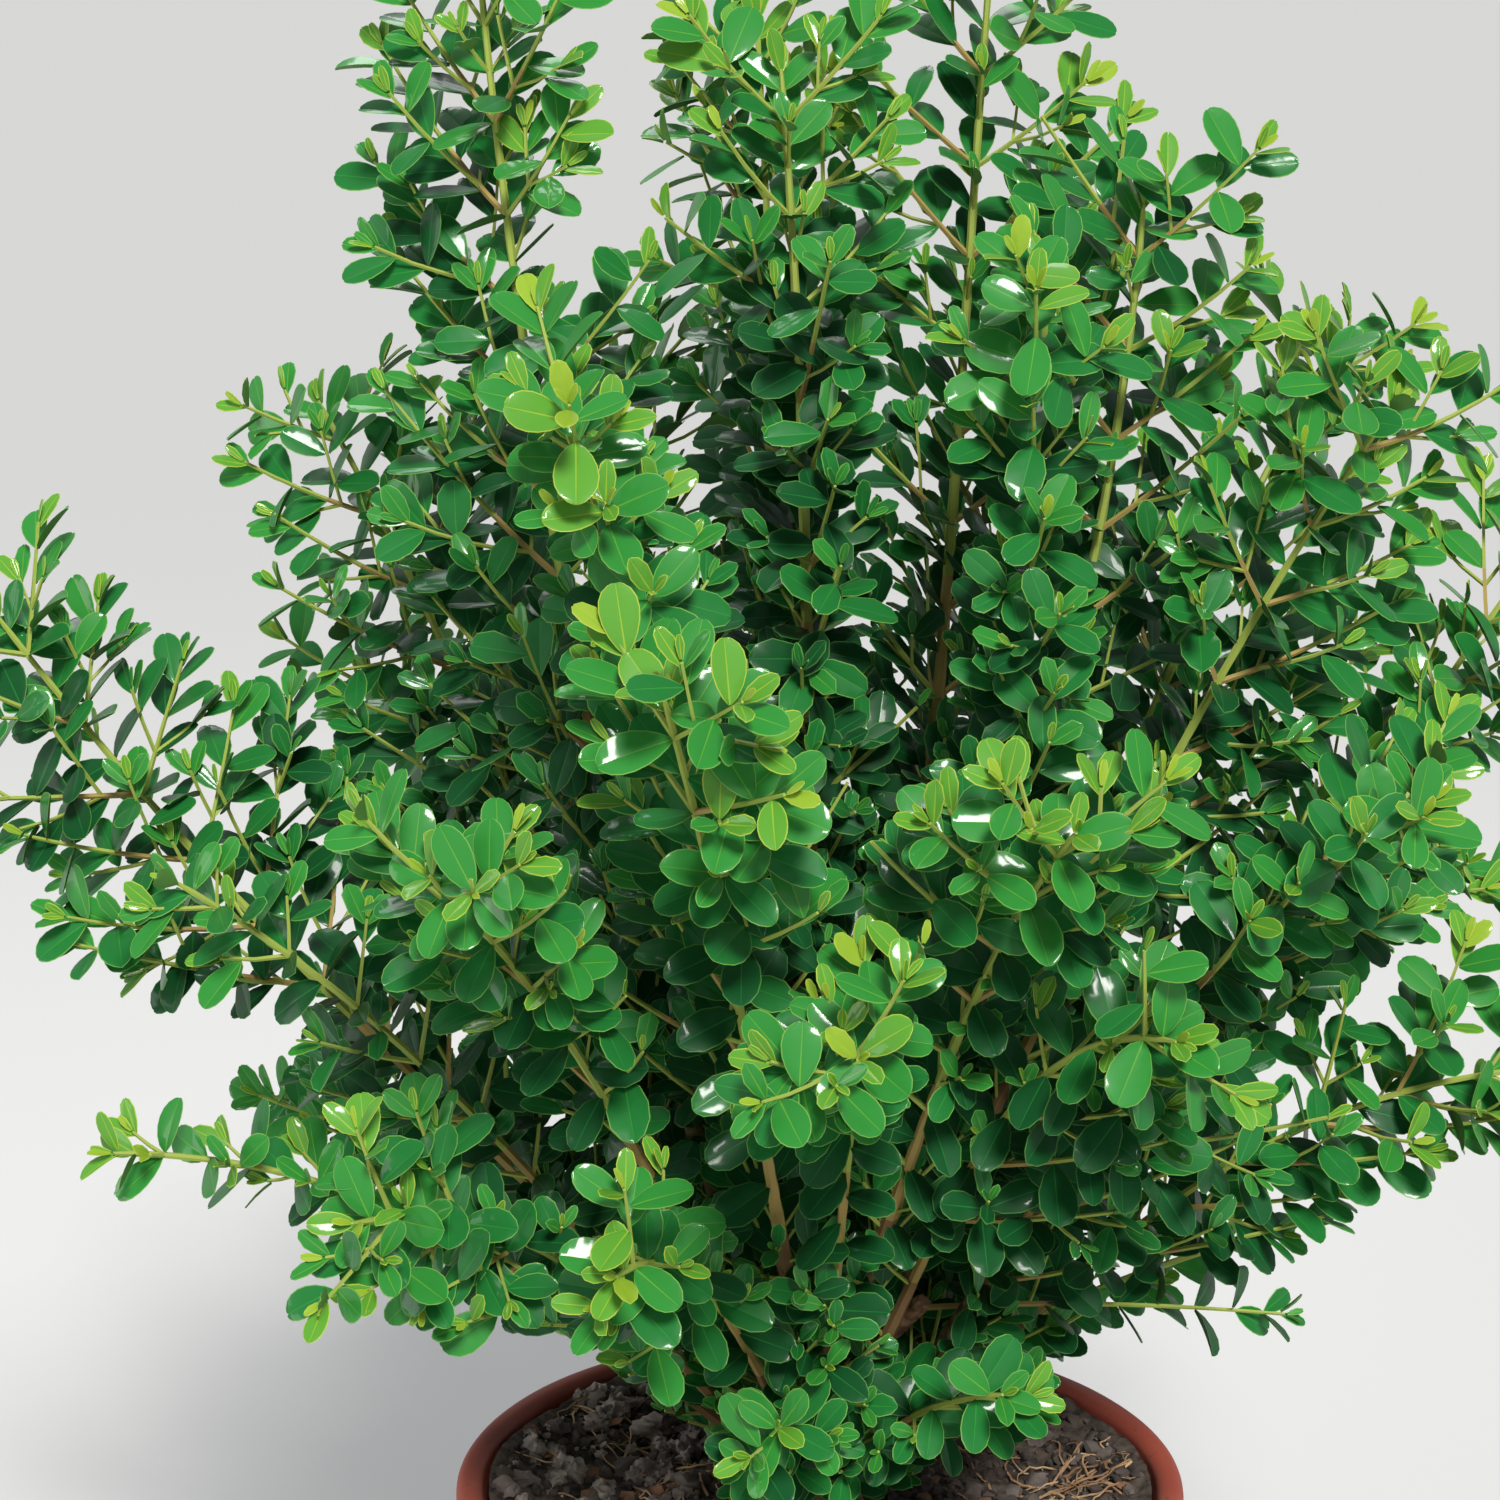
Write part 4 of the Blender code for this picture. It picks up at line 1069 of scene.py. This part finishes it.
            if self.holds([point_at(reach * i / 6)[0] for i in range(2, 7)]):
                break
        else:
            return
        count = len(self.leaves)
        tried = self.leafy(point_at, reach, roll, TWIG_NODE_SPACING, tone, leaf_size=leaf_size)
        grown = len(self.leaves) - count
        if grown < max(LEAFY_SHARE * tried, 2):
            for _ in range(grown):
                self.leaves.pop()
                self.grown[self.cells.pop()].pop()
            return
        rings = max(int(reach / TWIG_STEP), 2) + 1
        points = [point_at(reach * i / (rings - 1))[0] for i in range(rings)]
        thick = TWIG_RADIUS * (1.0 if level == 1 else 0.8) * (0.8 + reach * 5)
        radii = [thick + (TWIG_TIP_RADIUS - thick) * i / (rings - 1) for i in range(rings)]
        wood = [1 if level == 1 and i < 0.3 * rings and reach > 0.04 else 2 for i in range(rings - 1)]
        self.stems.append((points, radii, wood, 4))
        if level == 1:
            place, side = 0.012, draw.choice((0, math.pi))
            while reach - place > 0.018:
                point, tangent = point_at(place)
                twiglet = (reach - place) * TWIGLET_SHARE * draw.uniform(0.8, 1.2) + TIP_LEAF_REACH
                for turn in (0, math.pi):
                    outwards = rolled(tangent, roll + side + turn)
                    self.add_twig(point, tangent, outwards, twiglet, tone + 0.35, 2)
                side += math.pi / 2
                place += 2 * TWIG_NODE_SPACING * draw.uniform(0.8, 1.2)

    def grow(self):
        """The stem's own leaves and twigs, from its tip down."""
        shoot, draw = self.shoot, self.shoot.random
        start = shoot.tier["bare"]
        end = shoot.length - TIP_LEAF_REACH
        narrowing = 2.1 if shoot.tier["tip_rise"] > 80 else 1.4

        def point_at(distance):
            return shoot.along(distance / shoot.length)

        roll = draw.uniform(0, math.pi)
        self.leafy(point_at, end, roll, NODE_SPACING, 0.0, bare=start * shoot.length)
        below, node = FIRST_NODES[-1], len(FIRST_NODES) - 1
        while end - below > start * shoot.length:
            share = (end - below) / shoot.length
            up = (share - start) / (1 - start)
            has_twigs = node % TWIG_EVERY == 1 or up < ALL_TWIGS_BELOW
            if has_twigs or draw.random() < SPRIG_SHARE:
                base, along = point_at(end - below)
                turn = roll + math.pi / 2 * node + math.pi / 2
                length = shoot.tier["twig"] * self.slimness * (1.0 - NARROWING * up**narrowing)
                for side in (0, math.pi):
                    outwards = rolled(along, turn + side)
                    if has_twigs:
                        reach = length * draw.uniform(0.70, 1.12)
                        tone = 1.0 - 1.0 * up + draw.uniform(-0.5, 0.5)
                        self.add_twig(base, along, outwards, reach, tone, 1)
                    else:
                        reach, leaf_size = draw.uniform(*SPRIG_REACH), draw.uniform(0.70, 0.95)
                        self.add_twig(base, along, outwards, reach, 0.8 - 0.6 * up, 2, leaf_size)
            below += NODE_SPACING
            node += 1
        rings = int(end / STEM_STEP)
        first = 0 if not shoot.tier["bough"] else int(rings * start)
        shares = [i / (rings - 1) * end / shoot.length for i in range(first, rings)]
        points = [shoot.along(share)[0] for share in shares]
        radii = []
        for i, share in enumerate(shares):
            thinner = 1 - 0.28 * clip((share - start) / 0.15)
            radii.append(shoot.radius(share) * thinner * (1 + 0.10 * (i % 2)))
        radii[-1] = TWIG_TIP_RADIUS
        wood = [(share >= BROWN_WOOD_ENDS) + (share >= TAN_WOOD_ENDS) for share in shares[1:]]
        self.stems.append((points, radii, wood, 6))

    def clothe_limb(self):
        """Short, dark, leafy twigs on the bare wood below, wherever there is still room."""
        shoot, draw = self.shoot, self.shoot.random
        self.keeps_to_its_space = False
        distance = LIMB_TWIGS_FROM
        while distance < shoot.tier["bare"] * shoot.length + LIMB_TWIGS_PAST:
            base, along = shoot.along(distance / shoot.length)
            for _ in range(LIMB_TWIGS_EACH):
                length, leaf_size = draw.uniform(*LIMB_TWIG_REACH), draw.uniform(0.66, 0.95)
                outwards = rolled(along, draw.uniform(0, 2 * math.pi))
                self.add_twig(base, along, outwards, length, 1.0, 2, leaf_size)
            distance += LIMB_TWIG_SPACING * draw.uniform(0.8, 1.2)

    def grow_low_twig(self, base):
        """A long thin twig, nearly level, with small leaves in the shade, which are painted a deeper
        green as painted shade.
        """
        bend, tip = base + LOW_TWIG_BEND, base + LOW_TWIG_END

        def point_at(distance):
            share = distance / LOW_TWIG
            point = base * (1 - share) ** 2 + bend * 2 * share * (1 - share) + tip * share**2
            slope = (bend - base) * (1 - share) + (tip - bend) * share
            return point, slope.normalized()

        self.free_to_hang = True
        # the extra tone is painted shade
        self.leafy(point_at, LOW_TWIG, 0.5, TWIG_NODE_SPACING, 1.3, leaf_size=0.82)
        self.free_to_hang = False
        steps = range(LOW_TWIG_STEPS + 1)
        points = [point_at(LOW_TWIG * i / LOW_TWIG_STEPS)[0] for i in steps]
        radii = [0.0010 - 0.0005 * i / LOW_TWIG_STEPS for i in steps]
        wood = [1 if i <= LOW_TWIG_TAN_STEPS else 2 for i in steps[1:]]
        self.stems.append((points, radii, wood, 5))


masses = []
for shoot in shoots:
    others = space_tree([other for other in shoots if other is not shoot])
    mass = Mass(shoot, space_tree([shoot]), others)
    mass.grow()
    masses.append(mass)
for mass in masses:
    mass.clothe_limb()
low_mass = next(mass for mass in masses if mass.shoot.name == "foot_2")
low_mass.grow_low_twig(stub_foot.lerp(stub_head, LOW_TWIG_FROM))

# ---------------------------------------------------------------- the twigs
# Young box wood is yellow green and four-sided, and turns tan and then brown as it thickens. The
# stems of each mass are one joined mesh, and its colours are dealt out along them.


def plain(name, colour, roughness, coat=0.0, shine=0.16):
    """A material of one colour, for pieces whose colours are dealt out over many of them."""
    material, shader = new_finish(name)
    tune(shader, Base_Color=(*colour, 1.0), Roughness=roughness, Coat_Weight=coat)
    tune(shader, Coat_Roughness=0.1, Specular_IOR_Level=shine)
    return material


stem_woods = [
    plain("brown_stem", (0.210, 0.125, 0.055), 0.7),
    plain("tan_stem", (0.360, 0.265, 0.085), 0.6),
    plain("green_stem", (0.310, 0.390, 0.075), 0.5),
]
for mass in masses:
    points, faces, woods = [], [], []
    for centres, radii, wood, sides in mass.stems:
        offset = sum(len(p) for p in points)
        points.append(tube_points(centres, radii, sides))
        faces += capped_tube(len(centres), sides, offset)
        woods += [w for w in wood for _ in range(sides)] + [wood[0], wood[-1]]
    name = f"foliage_{mass.shoot.name}"
    stems = mesh_piece(f"{name}_twigs", np.concatenate(points).tolist(), faces, stem_woods, woods)
    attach(stems, "root")
    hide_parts(name)

# ---------------------------------------------------------------- the leaves
# Box leaves are small, thick and glossy, broadest past the middle, with a blunt tip, a pale midrib
# and margin, and a paler, matt underside. They are lime green at the tips and darken with age, and
# they are painted darker still towards the crown's heart, as painted shade.
LEAF_ROWS = ((0.03, 8), (0.12, 7), (0.32, 6), (0.70, 5), (9.0, 4))  # rows of faces, up to this depth
SMALL_LEAF_ROWS = ((0.40, 4), (9.0, 3))
SMALL_LEAF = 0.70  # of the full length
MARGIN = 0.00028
RIB = 0.00021
FOLD_DROP = 0.00010  # of the midrib, below the leaf's own plane,
EDGE_DROP = 0.00012  # and of the rounded margin
SOLE = 0.00042  # from that plane down to the keel, and more towards the foot
SOLE_SWELL = 0.0002
LEAST_HALF_WIDTH = 0.00045
LEAF_COLUMNS = 7  # six over the upper side, and the keel below
STRIP_KINDS = (2, 0, 1, 0, 2, 3, 3)  # blade 0, midrib 1, margin 2 and underside 3, round the leaf

blade_tones = [
    plain("lime_blade", (0.255, 0.405, 0.030), 0.50, 0.28),
    plain("spring_blade", (0.095, 0.305, 0.029), 0.48, 0.34),
    plain("fresh_blade", (0.026, 0.225, 0.032), 0.46, 0.36),
    plain("green_blade", (0.013, 0.158, 0.029), 0.44, 0.28),
    # the deepest tone, for old leaves and for the painted shade in the crown's heart
    plain("deep_blade", (0.006, 0.074, 0.018), 0.44, 0.14),
]
edge_tones = [
    plain("lime_edge", (0.34, 0.44, 0.05), 0.5),
    plain("green_edge", (0.14, 0.33, 0.06), 0.5),
    plain("deep_edge", (0.07, 0.20, 0.04), 0.5),
]
under_tones = [
    plain("lime_underside", (0.28, 0.38, 0.07), 0.6),
    plain("green_underside", (0.11, 0.26, 0.06), 0.6),
    plain("deep_underside", (0.06, 0.15, 0.04), 0.6),
]
leaf_materials = blade_tones + edge_tones + under_tones
RIB_OF = np.array([0, 0, 1, 2, 3])  # the blade tone that the midrib has
EDGE_OF = np.array([0, 0, 1, 1, 2]) + len(blade_tones)
UNDER_OF = np.array([0, 1, 1, 2, 2]) + len(blade_tones) + len(edge_tones)


def rows_of(leaf):
    """How many rows of faces a leaf has: fewer where it is small or in the shade."""
    low = clip((leaf[0].z - GROUND - 0.02) / 0.16, 0.3)  # at the foot the crown is open
    depth = depth_in_crown(leaf[0]) * low
    choice = SMALL_LEAF_ROWS if leaf[3] < SMALL_LEAF * LEAF_LENGTH else LEAF_ROWS
    return next(rows for limit, rows in choice if depth <= limit)


def leaf_mesh(leaves, rows):
    """The points, faces and material slots of many leaves at once, in this many rows of faces."""
    count = len(leaves)
    foot, along, normal = (np.array([leaf[i] for leaf in leaves]) for i in range(3))
    length, width, wedge, blunt, cup, droop, notch = (
        np.array([leaf[i] for leaf in leaves])[:, None] for i in range(3, 10)
    )
    tone = np.array([leaf[10] for leaf in leaves])
    across = np.cross(along, normal)
    share = np.sin(np.pi / 2 * np.arange(rows + 1) / rows) ** 1.35
    share = np.clip(share, 0.0, 0.995)[None, :] * np.ones((count, 1))
    half = share**wedge * (1 - share**blunt) ** 0.5
    half = half / half.max(axis=1)[:, None] * width / 2
    half = np.maximum(half, LEAST_HALF_WIDTH)
    margin = np.minimum(MARGIN, 0.3 * half)
    rib = np.minimum(RIB * (1.1 - 0.8 * share), 0.25 * half)
    x = share * length
    sides = [-half, -(half - margin), -rib, rib, half - margin, half, 0 * half]
    lift = cup * half
    edge, fold, keel = lift - EDGE_DROP, 0 * half - FOLD_DROP, 0 * half - SOLE - SOLE_SWELL * (1 - share)
    rise = [edge, lift * 0.93, fold, fold, lift * 0.93, edge, keel]
    bend = -droop * length * share**2
    points = np.zeros((count, rows + 1, LEAF_COLUMNS, 3))
    for column in range(LEAF_COLUMNS):
        back = notch * length * (share > 0.99) * (column in (2, 3, 6))
        points[:, :, column] = (
            foot[:, None]
            + along[:, None] * (x - back)[..., None]
            + across[:, None] * sides[column][..., None]
            + normal[:, None] * (rise[column] + bend)[..., None]
        )
    quads = []
    for low in range(0, rows * LEAF_COLUMNS, LEAF_COLUMNS):
        for a in range(LEAF_COLUMNS):
            b, high = (a + 1) % LEAF_COLUMNS, low + LEAF_COLUMNS
            quads.append((low + a, low + b, high + b, high + a))
    start = np.arange(count)[:, None, None] * (rows + 1) * LEAF_COLUMNS
    quads = (np.array(quads)[None] + start).reshape(-1, 4)
    last = rows * LEAF_COLUMNS
    caps = np.array([range(LEAF_COLUMNS)[::-1], range(last, last + LEAF_COLUMNS)])
    caps = (caps[None] + start).reshape(-1, LEAF_COLUMNS)
    kinds = np.array(STRIP_KINDS * rows)
    of_kind = np.stack([tone, RIB_OF[tone], EDGE_OF[tone], UNDER_OF[tone]], axis=1)
    slots = np.concatenate([of_kind[:, kinds].ravel(), np.repeat(of_kind[:, 2], 2)])
    return points.reshape(-1, 3).tolist(), quads.tolist() + caps.tolist(), slots.tolist()


for mass in masses:
    points, faces, slots = [], [], []
    for rows in range(3, 9):
        some = [leaf for leaf in mass.leaves if rows_of(leaf) == rows]
        if some:
            some_points, some_faces, some_slots = leaf_mesh(some, rows)
            faces += [[i + len(points) for i in face] for face in some_faces]
            points += some_points
            slots += some_slots
    name = f"foliage_{mass.shoot.name}"
    leaves = mesh_piece(f"{name}_leaves", points, faces, leaf_materials, slots, sharp=65)
    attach(leaves, "root")
    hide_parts(name)
